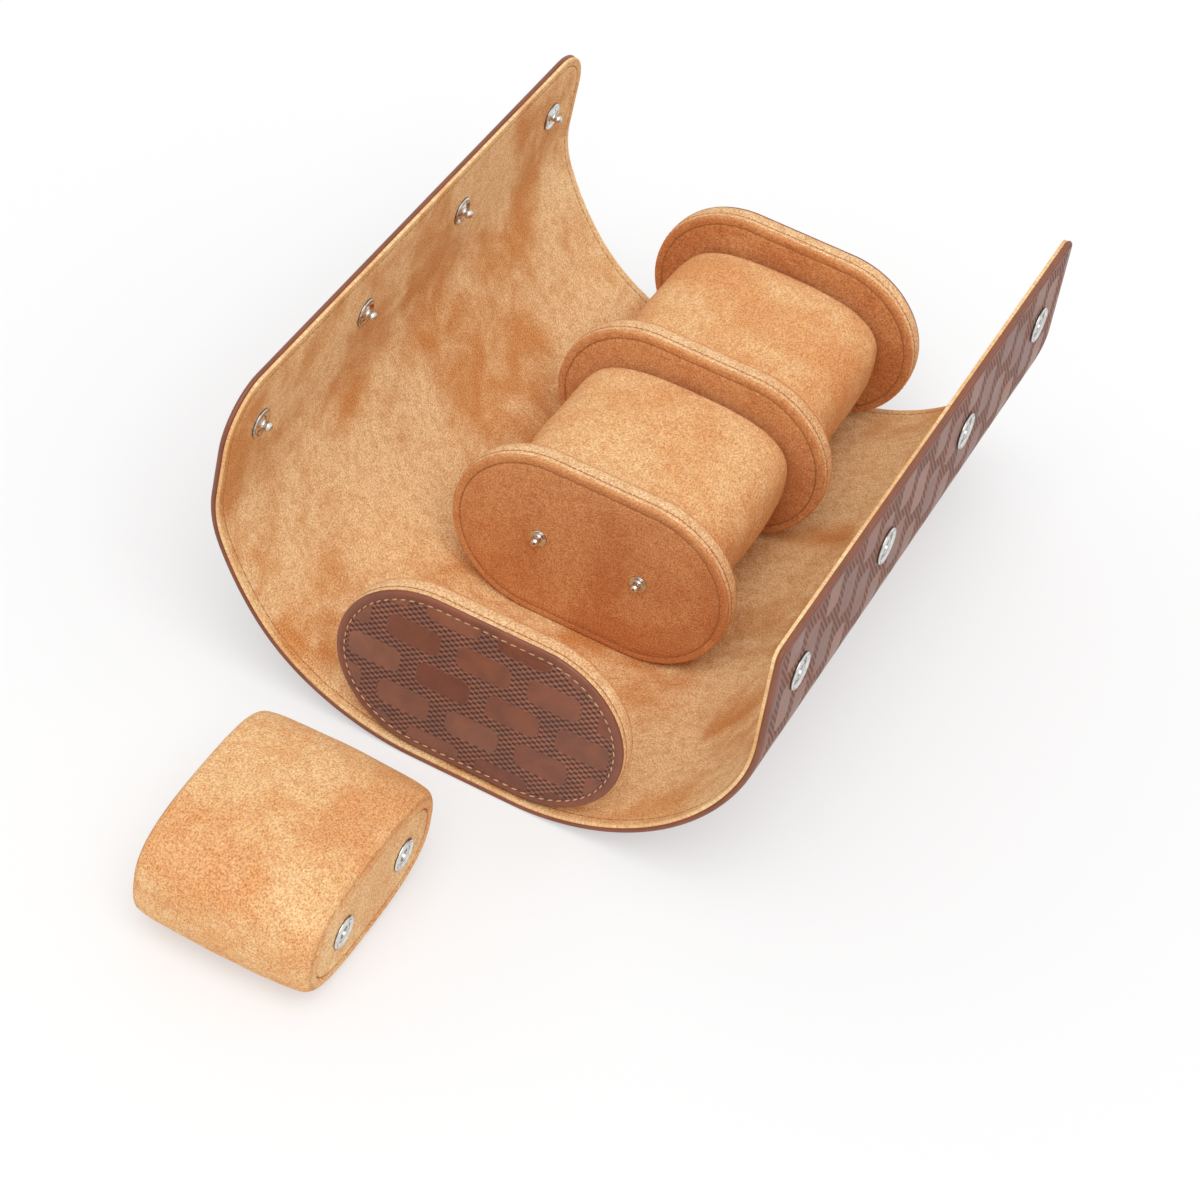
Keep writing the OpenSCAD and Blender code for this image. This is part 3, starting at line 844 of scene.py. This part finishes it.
class Plate:
    """The upright stadium outline of a plate, from its band in the frame."""

    def __init__(self, name):
        self.name = name
        self.low, self.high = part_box(name + "_rim")
        self.radius = (self.high.z - self.low.z) / 2
        self.half = (self.high.x - self.low.x) / 2 - self.radius
        self.height = (self.high.z + self.low.z) / 2
        self.thick = self.high.y - self.low.y

    def ring(self, bm, y, inset):
        """The plate's outline at a place along the roll, drawn in by an inset."""
        verts, edges = circle(bm, 96, self.radius - inset, Matrix.Identity(4))
        for vert in verts:
            vert.co += Vector((math.copysign(self.half, vert.co.x), y, self.height))
        return edges

    def grow(self, verts, out):
        """Moves outline points outward."""
        for vert in verts:
            core = Vector((max(-self.half, min(self.half, vert.co.x)), vert.co.y, self.height))
            vert.co += (vert.co - core).normalized() * out

    def seam(self, inset, pitch):
        """Places and directions along the outline, drawn in by an inset."""
        radius = self.radius - inset
        return walk(rounded_path(2 * (self.half + radius), 2 * radius, radius, 24), pitch)


def build_band(plate, sizes, colours):
    """Soft band of suede round the edge of a plate, with its long seam."""
    edge, seam_at, wide = 0.5 * MM, 2.5 * MM, 0.3 * MM
    start = [(edge - 0.1 * MM, 2.6), (edge, 0.9), (edge + 0.25 * MM, 0.45)]
    start += [(edge + 0.7 * MM, 0.15)]
    profile = start + [(seam_at - wide, 0.02), (seam_at, 0.26), (seam_at + wide, 0.02)]
    profile += [(plate.thick / 2, 0.0), (plate.thick - seam_at, 0.0)]
    profile += [(plate.thick - y, inset) for y, inset in start[::-1]]
    bm = bmesh.new()
    seam = mark(bm, "seam")
    first_ring = edges = plate.ring(bm, plate.low.y + profile[0][0], profile[0][1] * MM)
    for (y0, inset0), (y1, inset1) in zip(profile, profile[1:]):
        verts, edges = extrude_ring(bm, edges)
        bmesh.ops.translate(bm, vec=(0, y1 - y0, 0), verts=verts)
        plate.grow(verts, (inset0 - inset1) * MM)
        if y1 == seam_at:
            seam_ring = verts
    # The seam groove is marked darker: partly the pressed seam's colour, partly painted shade in the groove.
    for vert in seam_ring:
        vert[seam] = 0.8
    bmesh.ops.bridge_loops(bm, edges=first_ring + edges)
    bmesh.ops.recalc_face_normals(bm, faces=bm.faces)
    stitches = []
    for at, along in plate.seam(0, 2.1 * MM):
        core = Vector((max(-plate.half, min(plate.half, at.x)), 0))
        up = (at - core).normalized()
        up = Vector((up.x, 0, up.y))
        place = Vector((at.x, plate.low.y + seam_at, plate.height + at.y)) - up * STITCH_SINK
        stitches.append((place, Vector((along.x, 0, along.y)), up))
    add_stitches(bm, slanted(stitches, PLATE_SLANT), sizes)
    nap = suede("Band suede", colours.band_pale, colours.band_deep, 0.35)
    cord = thread("Seam thread", colours.seam_thread)
    piece = make_piece(plate.name + "_band", bm, "suede", nap, cord)
    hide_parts(plate.name + "_rim", plate.name + "_core")
    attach(piece, "tray")


def build_panel(plate, which, leather, sizes, colours):
    """A panel on one face of a plate, with a stitched border."""
    out, y = (-1, plate.low.y) if which == "front" else (1, plate.high.y)
    inset, rounding, groove = 0.25 * MM, 0.7 * MM, 0.4 * MM
    bm = bmesh.new()
    bmesh.ops.edgeloop_fill(bm, edges=plate.ring(bm, y, inset))
    thicken(bm, (0, -out * sizes.face_t, 0))
    rim = [e for e in bm.edges if all(abs(v.co.y - y) < 1e-7 for v in e.verts)]
    bevel(bm, rim, rounding)
    face = max((f for f in bm.faces if f.normal.y * out > 0.9), key=lambda f: f.calc_area())
    worn, plain = mark(bm, "wear"), mark(bm, "plain")
    for vert in bm.verts:
        vert[plain] = 1.0
        vert[worn] = 0.35
    if leather:
        slot, bead, sink, pitch = "leather", 0.35 * MM, 0.02 * MM, sizes.stitch_pitch
        finish = pressed_leather("Pressed leather", colours)
        cord = thread("Pale thread", colours.pale_thread)
    else:
        slot, bead, sink, pitch = "suede", 0.0, 0.12 * MM, 2.4 * MM
        finish = suede("Face suede", colours.face_pale, colours.face_deep, 0.8)
        cord = thread("Seam thread", colours.seam_thread)
    first = sizes.seam_inset - groove - rounding - inset
    # The sunk groove ring is marked as seam and drawn darker: partly the pressed seam's colour, partly
    # painted shade in the groove.
    rings = (
        (first / 2, bead, {"wear": 0.12}), (first / 2, -bead, {"wear": 0.0}),
        (groove, -0.22 * MM, {"seam": 1.0}), (groove, 0.22 * MM, {"seam": 0.0, "plain": 0.0}),
        (1.5 * MM, 0.0, {}), (6 * MM, 0.12 * MM, {}),
    )
    inset_rings(bm, face, rings)
    layer = bm.loops.layers.uv.new("flat")
    for loop in (loop for f in bm.faces for loop in f.loops):
        loop[layer].uv = (loop.vert.co.x, loop.vert.co.z)
    stitches = []
    for at, along in plate.seam(sizes.seam_inset, pitch):
        place = Vector((at.x, y - out * sink, plate.height + at.y))
        stitches.append((place, Vector((along.x, 0, along.y)), Vector((0, out, 0))))
    add_stitches(bm, slanted(stitches, PLATE_SLANT), sizes)
    piece = make_piece(f"{plate.name}_{which}_panel", bm, slot, finish, cord)
    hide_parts(f"{plate.name}_{which}_face")
    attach(piece, "tray")


def build_plates(sizes, colours):
    """The four upright plates, with leather on the two outer faces."""
    for name in PLATES:
        plate = Plate(name)
        build_band(plate, sizes, colours)
        build_panel(plate, "front", name == "front_plate", sizes, colours)
        build_panel(plate, "rear", name == "rear_plate", sizes, colours)


# Pillows


class Pillow:
    """A pillow's oval, axis and place, from its sleeve in the frame."""

    def __init__(self, number):
        self.number = number
        self.body = f"pillow_{number}"
        low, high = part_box(f"pillow_{number}_sleeve")
        size = high - low
        self.loose = size.y > size.x
        self.half_length = min(size.x, size.y) / 2
        self.half_width = max(size.x, size.y) / 2
        straight_low, straight_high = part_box("pillow_2_sleeve")
        self.half_height = (straight_high.z - straight_low.z) / 2
        self.end = self.half_length - END_SINK
        middle = (low + high) / 2
        middle.z = high.z - self.half_height
        turn = Matrix.Rotation(-math.pi / 2, 4, "Z") if self.loose else Matrix.Identity(4)
        self.place = Matrix.Translation(middle) @ turn

    def snap_places(self):
        """Where the two snaps sit in the rear end, on the upright pillow."""
        return [Matrix.Translation((side * snap_reach(), self.end, 0)) for side in (-1, 1)]

    def ring(self, bm, y, inset, power=2.85):
        """The end view, between an ellipse and a rectangle, at a place along the pillow."""
        verts, edges = circle(bm, 112, 1, Matrix.Identity(4))
        for vert in verts:
            x, z = vert.co.x, vert.co.z
            vert.co = (
                (self.half_width - inset) * math.copysign(abs(x) ** (2 / power), x), y,
                (self.half_height - inset) * math.copysign(abs(z) ** (2 / power), z),
            )
        return edges

    def loft(self, bm, profile):
        """Carries the oval through (place, inset) steps along the pillow."""
        edges = self.ring(bm, *profile[0])
        for (y0, inset0), (y1, inset1) in zip(profile, profile[1:]):
            verts, edges = extrude_ring(bm, edges)
            grow = (
                (self.half_width - inset1) / (self.half_width - inset0), 1,
                (self.half_height - inset1) / (self.half_height - inset0),
            )
            bmesh.ops.scale(bm, vec=grow, verts=verts)
            bmesh.ops.translate(bm, vec=(0, y1 - y0, 0), verts=verts)
        return edges


def snap_reach():
    """Half the distance between the two snaps of a plate or a pillow."""
    low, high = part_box("plate_studs")
    return (high.x - low.x) / 2 - PLATE_STUD_RADIUS


def sleeve_profile(pillow, sizes):
    """Steps along a sleeve, from the lip at one end to the lip at the other."""
    half, edge, crown = pillow.half_length, sizes.pillow_edge, sizes.pillow_crown
    lip = crown + edge
    steps = [
        (half - 2.0 * MM, lip + 1.25 * MM), (half - 0.7 * MM, lip + 1.2 * MM),
        (half - 0.15 * MM, lip + 0.85 * MM),
    ]
    for step in range(7):
        turn = math.pi / 2 * (1 - step / 6)
        steps.append((half - edge * (1 - math.sin(turn)), crown + edge * (1 - math.cos(turn))))
    count = 9
    for step in range(1, count):
        y = (half - edge) * (1 - step / count)
        steps.append((y, crown * (y / half) ** 2))
    return [(-y, inset) for y, inset in steps] + [(0.0, 0.0)] + steps[::-1]


def inflate(piece, held, cap):
    """Blows a sleeve up a little with a cloth simulation, and holds the given vertices."""
    frames = 20
    rest = [vert.co.copy() for vert in piece.data.vertices]
    piece.vertex_groups.new(name="held").add(held, 1.0, "REPLACE")
    cloth = piece.modifiers.new("Padding", "CLOTH")
    settings = {
        "vertex_group_mass": "held", "use_pressure": True, "uniform_pressure_force": 4.0,
        "quality": 6, "mass": 0.2, "tension_stiffness": 8, "compression_stiffness": 8,
        "shear_stiffness": 4, "bending_stiffness": 0.4,
    }
    for key, value in settings.items():
        setattr(cloth.settings, key, value)
    cloth.settings.effector_weights.gravity = 0.0
    cloth.collision_settings.use_collision = False
    cloth.point_cache.frame_end = frames
    scene = bpy.context.scene
    for step in range(1, frames + 1):
        scene.frame_set(step)
    graph = bpy.context.evaluated_depsgraph_get()
    shaped = bpy.data.meshes.new_from_object(piece.evaluated_get(graph))
    moved = [vert.co.copy() for vert in shaped.vertices]
    bpy.data.meshes.remove(shaped)
    piece.modifiers.clear()
    piece.vertex_groups.clear()
    scene.frame_set(1)
    for vert, start, end in zip(piece.data.vertices, rest, moved):
        way = end - start
        if way.length > cap:
            way *= cap / way.length
        vert.co = start + way


def build_sleeve(pillow, sizes, colours):
    """Suede sleeve of a pillow, swollen by its padding and a little uneven."""
    half = pillow.half_length
    broad, fine, uneven = 19 * MM, 8 * MM, 0.42 * MM
    pressed_by, pressed_over = 0.25 * MM, 0.6 * MM
    bm = bmesh.new()
    pillow.loft(bm, sleeve_profile(pillow, sizes))
    bmesh.ops.recalc_face_normals(bm, faces=bm.faces)
    outside = max(bm.faces, key=lambda f: f.calc_center_median().z)
    if outside.normal.z < 0:
        bmesh.ops.reverse_faces(bm, faces=bm.faces)
    # Darker ring on the lip that turns in to meet the end panel: partly the joint's own colour, partly
    # painted shade in the gap.
    seam = mark(bm, "seam")
    for vert in bm.verts:
        if half - 0.8 * MM < abs(vert.co.y) < half - 0.5 * MM:
            vert[seam] = 0.7
    nap = suede("Pillow suede", colours.pillow_pale, colours.pillow_deep, 0.7)
    piece = make_piece(f"pillow_{pillow.number}_suede", bm, "suede", nap)
    limit = half - sizes.pillow_edge
    held = [v.index for v in piece.data.vertices if abs(v.co.y) > limit]
    inflate(piece, held, sizes.pillow_swell)
    shaped = bmesh.new()
    shaped.from_mesh(piece.data)
    shaped.normal_update()
    offset = Vector((pillow.number * 7.3, pillow.number * 3.1, pillow.number * 5.7))
    for vert in shaped.verts:
        hold = max(0.0, min(1.0, (half - abs(vert.co.y)) / (8 * MM)))
        amount = noise.noise(vert.co / broad + offset)
        amount += 0.45 * noise.noise(vert.co / fine - offset)
        vert.co += vert.normal * amount * hold * uneven
    bmesh.ops.transform(shaped, matrix=pillow.place, verts=shaped.verts)
    if pillow.loose:
        for vert in shaped.verts:
            floor = pressed_by * (1 - math.exp(-max(vert.co.z, 0) / pressed_over))
            vert.co.z = max(vert.co.z, floor, 0.02 * MM)
    shaped.to_mesh(piece.data)
    shaped.free()
    bend = piece.modifiers.new("Soft", "SUBSURF")
    bend.levels = bend.render_levels = 1
    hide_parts(f"pillow_{pillow.number}_sleeve", f"pillow_{pillow.number}_foam")
    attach(piece, f"pillow_{pillow.number}")


def build_pillow_ends(pillow, sizes, colours):
    """Flat end panels of a pillow, each a little sunk inside the rolled edge."""
    inset = sizes.pillow_crown + sizes.pillow_edge + 1.35 * MM
    steps = ((1.0, 0.0), (0.45, 0.05), (0.12, 0.2), (0.0, 0.6), (0.0, 2.2))
    bm = bmesh.new()
    seam = mark(bm, "seam")
    for end in (-1, 1):
        profile = [(end * (pillow.end - in_y * MM), inset + in_x * MM) for in_y, in_x in steps]
        before = set(bm.verts)
        edges = pillow.loft(bm, profile)
        if end > 0:
            for place in pillow.snap_places():
                edges += circle(bm, 32, HOLE_RADIUS, place, half_step=False)[1]
        bmesh.ops.triangle_fill(bm, edges=edges, use_beauty=True)
        # Darker rim where the end tucks in under the rolled edge: partly the joint's own colour, partly
        # painted shade in the gap.
        for vert in set(bm.verts) - before:
            if abs(vert.co.y) < pillow.end - 0.4 * MM:
                vert[seam] = 1.0
    bmesh.ops.recalc_face_normals(bm, faces=bm.faces)
    for end in (-1, 1):
        cap = [f for f in bm.faces if f.calc_center_median().y * end > 0]
        flat = max(cap, key=lambda f: abs(f.normal.y))
        if flat.normal.y * end < 0:
            bmesh.ops.reverse_faces(bm, faces=cap)
    bmesh.ops.transform(bm, matrix=pillow.place, verts=bm.verts)
    nap = suede("Pillow end suede", colours.lining_pale, colours.face_pale, 0.6)
    piece = make_piece(f"pillow_{pillow.number}_ends", bm, "suede", nap)
    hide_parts(f"pillow_{pillow.number}_end_panels")
    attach(piece, f"pillow_{pillow.number}")


def build_pillows(sizes, colours):
    """The three pillows, each with its two end panels."""
    for number in (1, 2, 3):
        pillow = Pillow(number)
        build_sleeve(pillow, sizes, colours)
        build_pillow_ends(pillow, sizes, colours)


# Snaps


def ball_outline(top, radius, neck, count=7):
    """Outline of a ball on a neck, up to its top, as (radius, height) in millimetres."""
    start = -math.acos(neck / radius)
    points = []
    for step in range(count):
        turn = start + (math.pi / 2 - start) * step / count
        points.append((radius * math.cos(turn), top - radius + radius * math.sin(turn)))
    return points + [(0.0, top)]


PLATE_STUD = [(0, 0), (2.95, 0), (3.0, 0.2), (2.85, 0.42), (2.5, 0.5), (2.15, 0.4), (1.9, 0.25)]
PLATE_STUD += [(1.6, 0.3), (1.3, 0.6)] + ball_outline(3.7, 1.5, 1.25)
FLAP_STUD = [(0, 0), (4.75, 0), (4.8, 0.25), (4.6, 0.62), (4.25, 0.8), (3.8, 0.72), (3.4, 0.38)]
FLAP_STUD += [(2.9, 0.25), (2.4, 0.32), (2.1, 0.62), (1.8, 0.8), (1.35, 0.85)]
FLAP_STUD += ball_outline(4.0, 1.5, 1.25)
FLAP_SOCKET = [(0, -2.75), (1.8, -2.75), (1.9, -2.6), (1.9, 0.35), (2.05, 0.6), (2.4, 0.66)]
FLAP_SOCKET += [(2.8, 0.5), (3.1, 0.3), (4.6, 0.28), (4.95, 0.42), (5.15, 0.82), (5.35, 1.0)]
FLAP_SOCKET += [(5.65, 0.98), (5.9, 0.75), (6.0, 0.45), (6.0, 0)]
FLAP_SOCKET += [(1.94, 0), (1.94, -2.79), (0, -2.79)]
PILLOW_SOCKET = [(0, -2.4), (1.8, -2.4), (1.9, -2.2), (1.9, 0.2), (2.05, 0.45), (2.4, 0.54)]
PILLOW_SOCKET += [(2.8, 0.42), (3.1, 0.3), (3.6, 0.28), (4.0, 0.4), (4.25, 0.68), (4.6, 0.8)]
PILLOW_SOCKET += [(4.95, 0.72), (5.2, 0.48), (5.25, 0.2), (5.2, 0)]
PILLOW_SOCKET += [(1.94, 0), (1.94, -2.44), (0, -2.44)]
CAP = [(0, 1.6), (1.6, 1.55), (3.2, 1.38), (4.6, 1.08), (5.5, 0.78), (5.9, 0.45), (6.0, 0.2), (5.9, 0)]
CAP += [(0, 0)]
EYELET = [(1.9, -1.0), (1.9, 0.25), (2.1, 0.4), (2.5, 0.4), (3.0, 0.32), (3.6, 0.32)]
EYELET += [(3.95, 0.26), (4.15, 0.1), (4.2, 0), (1.94, 0), (1.94, -1.0), (1.9, -1.0)]


def turned(bm, outline, place, hole):
    """Turns an outline on a lathe, and sets it in place. A hole and its foot get painted shade."""
    # Painted shade in the hole and round the foot, kept in the seam mark that the nickel finish reads.
    dark = mark(bm, "seam")
    widest = max(r for r, z in outline)
    verts = [bm.verts.new((r * MM, 0, z * MM)) for r, z in outline]
    for vert, (r, z) in zip(verts, outline):
        wall = r > widest - 0.06 and z <= 0.45
        vert[dark] = 1.0 if z < 0 else 0.85 if wall else 0.4 if r <= hole else 0.0
    edges = [bm.edges.new(pair) for pair in zip(verts, verts[1:])]
    before = set(bm.verts) - set(verts)
    bmesh.ops.spin(
        bm, geom=verts + edges, cent=(0, 0, 0), axis=(0, 0, 1), angle=math.tau, steps=36,
        use_merge=True,
    )
    made = [v for v in bm.verts if v not in before]
    bmesh.ops.remove_doubles(bm, verts=made, dist=1e-6)
    made = [v for v in bm.verts if v not in before]
    faces = list({f for v in made for f in v.link_faces})
    bmesh.ops.recalc_face_normals(bm, faces=faces)
    top = max(faces, key=lambda f: f.calc_center_median().z)
    if top.normal.z < 0:
        bmesh.ops.reverse_faces(bm, faces=faces)
    bmesh.ops.transform(bm, matrix=place, verts=made)


def spring(bm, place):
    """The two wires of the spring in a socket."""
    radius = 0.18 * MM
    lying = Matrix.Rotation(math.pi / 2, 4, "X")
    for x in (-1.68 * MM, 1.68 * MM):
        wire = bmesh.ops.create_cone(
            bm, cap_ends=True, segments=8, radius1=radius, radius2=radius, depth=1.7 * MM,
            matrix=place @ Matrix.Translation((x, 0, -0.7 * MM)) @ lying,
        )
        edges = {edge for vert in wire["verts"] for edge in vert.link_edges}
        bevel(bm, [edge for edge in edges if edge.calc_length() < 0.3 * MM], 0.05 * MM, 1)


def snap_group(name, outline, places, node, body, metal, springs=False):
    """One piece with a snap at each place, and springs where it is a socket."""
    bm = bmesh.new()
    for place in places:
        turned(bm, outline, place, 1.9 if springs else 0.0)
        if springs:
            spring(bm, place)
    piece = make_piece(name, bm, "nickel", metal)
    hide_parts(node)
    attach(piece, body)


def build_snaps(sizes, colours):
    """Studs, caps, sockets and eyelets of the flaps, the plates and the pillows."""
    metal = polished("Nickel", colours.nickel)
    stud, socket = (Side(name, sizes) for name in SIDES)
    for part, outline, side, out, inward in (
        ("stud", FLAP_STUD, stud, 0.0, True), ("cap", CAP, stud, stud.cover_t, False),
        ("socket", FLAP_SOCKET, socket, socket.cover_t, False),
        ("eyelet", EYELET, socket, 0.0, True),
    ):
        rows = (y * sizes.snap_pitch for y in FLAP_SNAPS)
        places = [side.frame_at(side.snaps_at, out, y, inward) for y in rows]
        name, node, body = f"flap_{part}_row", f"flap_{part}s", side.name + "_flap"
        snap_group(name, outline, places, node, body, metal, part == "socket")
    forward = Matrix.Rotation(math.pi / 2, 4, "X")
    places = []
    for plate in (Plate(name) for name in PLATES[1:]):
        for x in (-snap_reach(), snap_reach()):
            places.append(Matrix.Translation((x, plate.low.y, plate.height)) @ forward)
    snap_group("plate_stud_pairs", PLATE_STUD, places, "plate_studs", "tray", metal)
    for number in (1, 2, 3):
        pillow = Pillow(number)
        places = [pillow.place @ place @ forward.inverted() for place in pillow.snap_places()]
        name, node = f"pillow_{number}_socket_pair", f"pillow_{number}_sockets"
        snap_group(name, PILLOW_SOCKET, places, node, f"pillow_{number}", metal, True)


# Stage


def seen_directly(tree):
    """1 for the camera, for reflections and through glass, and 0 for light on the roll."""
    path = tree.add("LightPath").outputs
    seen = tree.math("MAXIMUM", path["Is Camera Ray"], path["Is Glossy Ray"])
    return tree.math("MAXIMUM", seen, path["Is Transmission Ray"])


def shown_as(tree, output, share, lit, kind, colour):
    """Puts a plain glow of a colour in place of a share of what is lit."""
    plain = tree.add(kind, {"Color": colour, "Strength": 1.0}).outputs[0]
    both = tree.add("MixShader", {0: share, 1: lit.outputs[0], 2: plain})
    tree.put(tree.tree.nodes[output].inputs["Surface"], both.outputs[0])


def build_stage(stage):
    """A pale floor and sky, a soft lamp, and the camera."""
    scene = bpy.context.scene
    bm = bmesh.new()
    bmesh.ops.create_grid(bm, x_segments=1, y_segments=1, size=6)
    floor = new_object("floor", bm)
    material, tree, shader = new_material("Studio floor")
    finish = {
        "Base Color": scaled(stage.floor_colour, 0.93), "Roughness": 0.9, "Specular IOR Level": 0.0,
    }
    tree.fill(shader, finish)
    share = tree.times(seen_directly(tree), stage.floor_glow)
    shown_as(tree, "Material Output", share, shader, "Emission", stage.floor_colour)
    floor.data.materials.append(material)
    floor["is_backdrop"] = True

    scene.world = bpy.data.worlds.new("Studio light")
    scene.world.use_nodes = True
    tree = Tree(scene.world.node_tree)
    sky = scene.world.node_tree.nodes["Background"]
    tree.fill(sky, {"Color": (1, 1, 1), "Strength": stage.sky})
    share = seen_directly(tree)
    shown_as(tree, "World Output", share, sky, "Background", stage.floor_colour)

    lamp = bpy.data.lights.new("Soft lamp", "SUN")
    lamp.energy = stage.sun
    lamp.angle = math.radians(55)
    sun = bpy.data.objects.new("Soft lamp", lamp)
    toward_lamp = Vector((0.2, -0.42, 0.86))
    sun.rotation_euler = (-toward_lamp).to_track_quat("-Z", "Y").to_euler()
    scene.collection.objects.link(sun)

    lens = bpy.data.cameras.new("Camera")
    lens.lens = stage.lens
    lens.sensor_width = 36
    lens.clip_start, lens.clip_end = 0.01, 50
    lens.shift_x, lens.shift_y = -0.0042, 0.0006
    camera = bpy.data.objects.new("Camera", lens)
    level = math.cos(stage.elevation)
    back = Vector((
        math.sin(stage.azimuth) * level, -math.cos(stage.azimuth) * level,
        math.sin(stage.elevation),
    ))
    right = (-back).cross(UP).normalized()
    down = (-back).cross(right)
    turn, rise = math.cos(stage.roll), math.sin(stage.roll)
    right, down = turn * right - rise * down, rise * right + turn * down
    basis = Matrix((right, -down, back)).transposed()
    camera.matrix_world = Matrix.Translation(stage.eye) @ basis.to_4x4()
    scene.collection.objects.link(camera)
    scene.camera = camera
    scene.view_settings.view_transform = "Standard"


# Operators and panel


class WATCHROLL_OT_cover_leather(bpy.types.Operator):
    """Make the outer leather of the wrap"""

    bl_idname = "watch_roll.cover_leather"
    bl_label = "Cover Leather"

    def execute(self, context):
        build_leather(context.scene.watch_roll_sizes, context.scene.watch_roll_colours)
        return {"FINISHED"}


class WATCHROLL_OT_cover_lining(bpy.types.Operator):
    """Make the suede lining of the wrap"""

    bl_idname = "watch_roll.cover_lining"
    bl_label = "Cover Lining"

    def execute(self, context):
        build_lining(context.scene.watch_roll_sizes, context.scene.watch_roll_colours)
        return {"FINISHED"}


class WATCHROLL_OT_plates(bpy.types.Operator):
    """Make the four upright plates"""

    bl_idname = "watch_roll.plates"
    bl_label = "Plates"

    def execute(self, context):
        build_plates(context.scene.watch_roll_sizes, context.scene.watch_roll_colours)
        return {"FINISHED"}


class WATCHROLL_OT_pillows(bpy.types.Operator):
    """Make the three pillows"""

    bl_idname = "watch_roll.pillows"
    bl_label = "Pillows"

    def execute(self, context):
        build_pillows(context.scene.watch_roll_sizes, context.scene.watch_roll_colours)
        return {"FINISHED"}


class WATCHROLL_OT_snaps(bpy.types.Operator):
    """Make the studs, sockets, caps and eyelets"""

    bl_idname = "watch_roll.snaps"
    bl_label = "Snaps"

    def execute(self, context):
        build_snaps(context.scene.watch_roll_sizes, context.scene.watch_roll_colours)
        return {"FINISHED"}


class WATCHROLL_OT_stage(bpy.types.Operator):
    """Make the floor, the light and the camera"""

    bl_idname = "watch_roll.stage"
    bl_label = "Stage"

    def execute(self, context):
        build_stage(context.scene.watch_roll_stage)
        return {"FINISHED"}


STEPS = (
    WATCHROLL_OT_cover_leather, WATCHROLL_OT_cover_lining, WATCHROLL_OT_plates,
    WATCHROLL_OT_pillows, WATCHROLL_OT_snaps, WATCHROLL_OT_stage,
)


class WATCHROLL_PT_sidebar(bpy.types.Panel):
    """Steps and settings of the watch roll"""

    bl_idname = "WATCHROLL_PT_sidebar"
    bl_label = "Watch Roll"
    bl_space_type = "VIEW_3D"
    bl_region_type = "UI"
    bl_category = "Watch Roll"

    def draw(self, context):
        for step in STEPS:
            self.layout.operator(step.bl_idname)
        scene = context.scene
        for group in (scene.watch_roll_sizes, scene.watch_roll_colours, scene.watch_roll_stage):
            box = self.layout.box()
            for name in group.bl_rna.properties.keys():
                if name not in ("rna_type", "name"):
                    box.prop(group, name)


GROUPS = {
    "watch_roll_sizes": WatchRollSizes, "watch_roll_colours": WatchRollColours,
    "watch_roll_stage": WatchRollStage,
}


def register():
    for kind in (*GROUPS.values(), *STEPS, WATCHROLL_PT_sidebar):
        bpy.utils.register_class(kind)
    for name, kind in GROUPS.items():
        setattr(bpy.types.Scene, name, PointerProperty(type=kind))


def unregister():
    for name in GROUPS:
        delattr(bpy.types.Scene, name)
    for kind in (WATCHROLL_PT_sidebar, *STEPS, *GROUPS.values()):
        bpy.utils.unregister_class(kind)


def main():
    register()
    bpy.ops.watch_roll.cover_leather()
    bpy.ops.watch_roll.cover_lining()
    bpy.ops.watch_roll.plates()
    bpy.ops.watch_roll.pillows()
    bpy.ops.watch_roll.snaps()
    bpy.ops.watch_roll.stage()
    boxes = {
        name: [[float(v) for v in corner] for corner in box]
        for name, box in (("frame", FRAME_BOUNDS), ("visual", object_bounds()))
    }


if __name__ == "__main__":
    main()
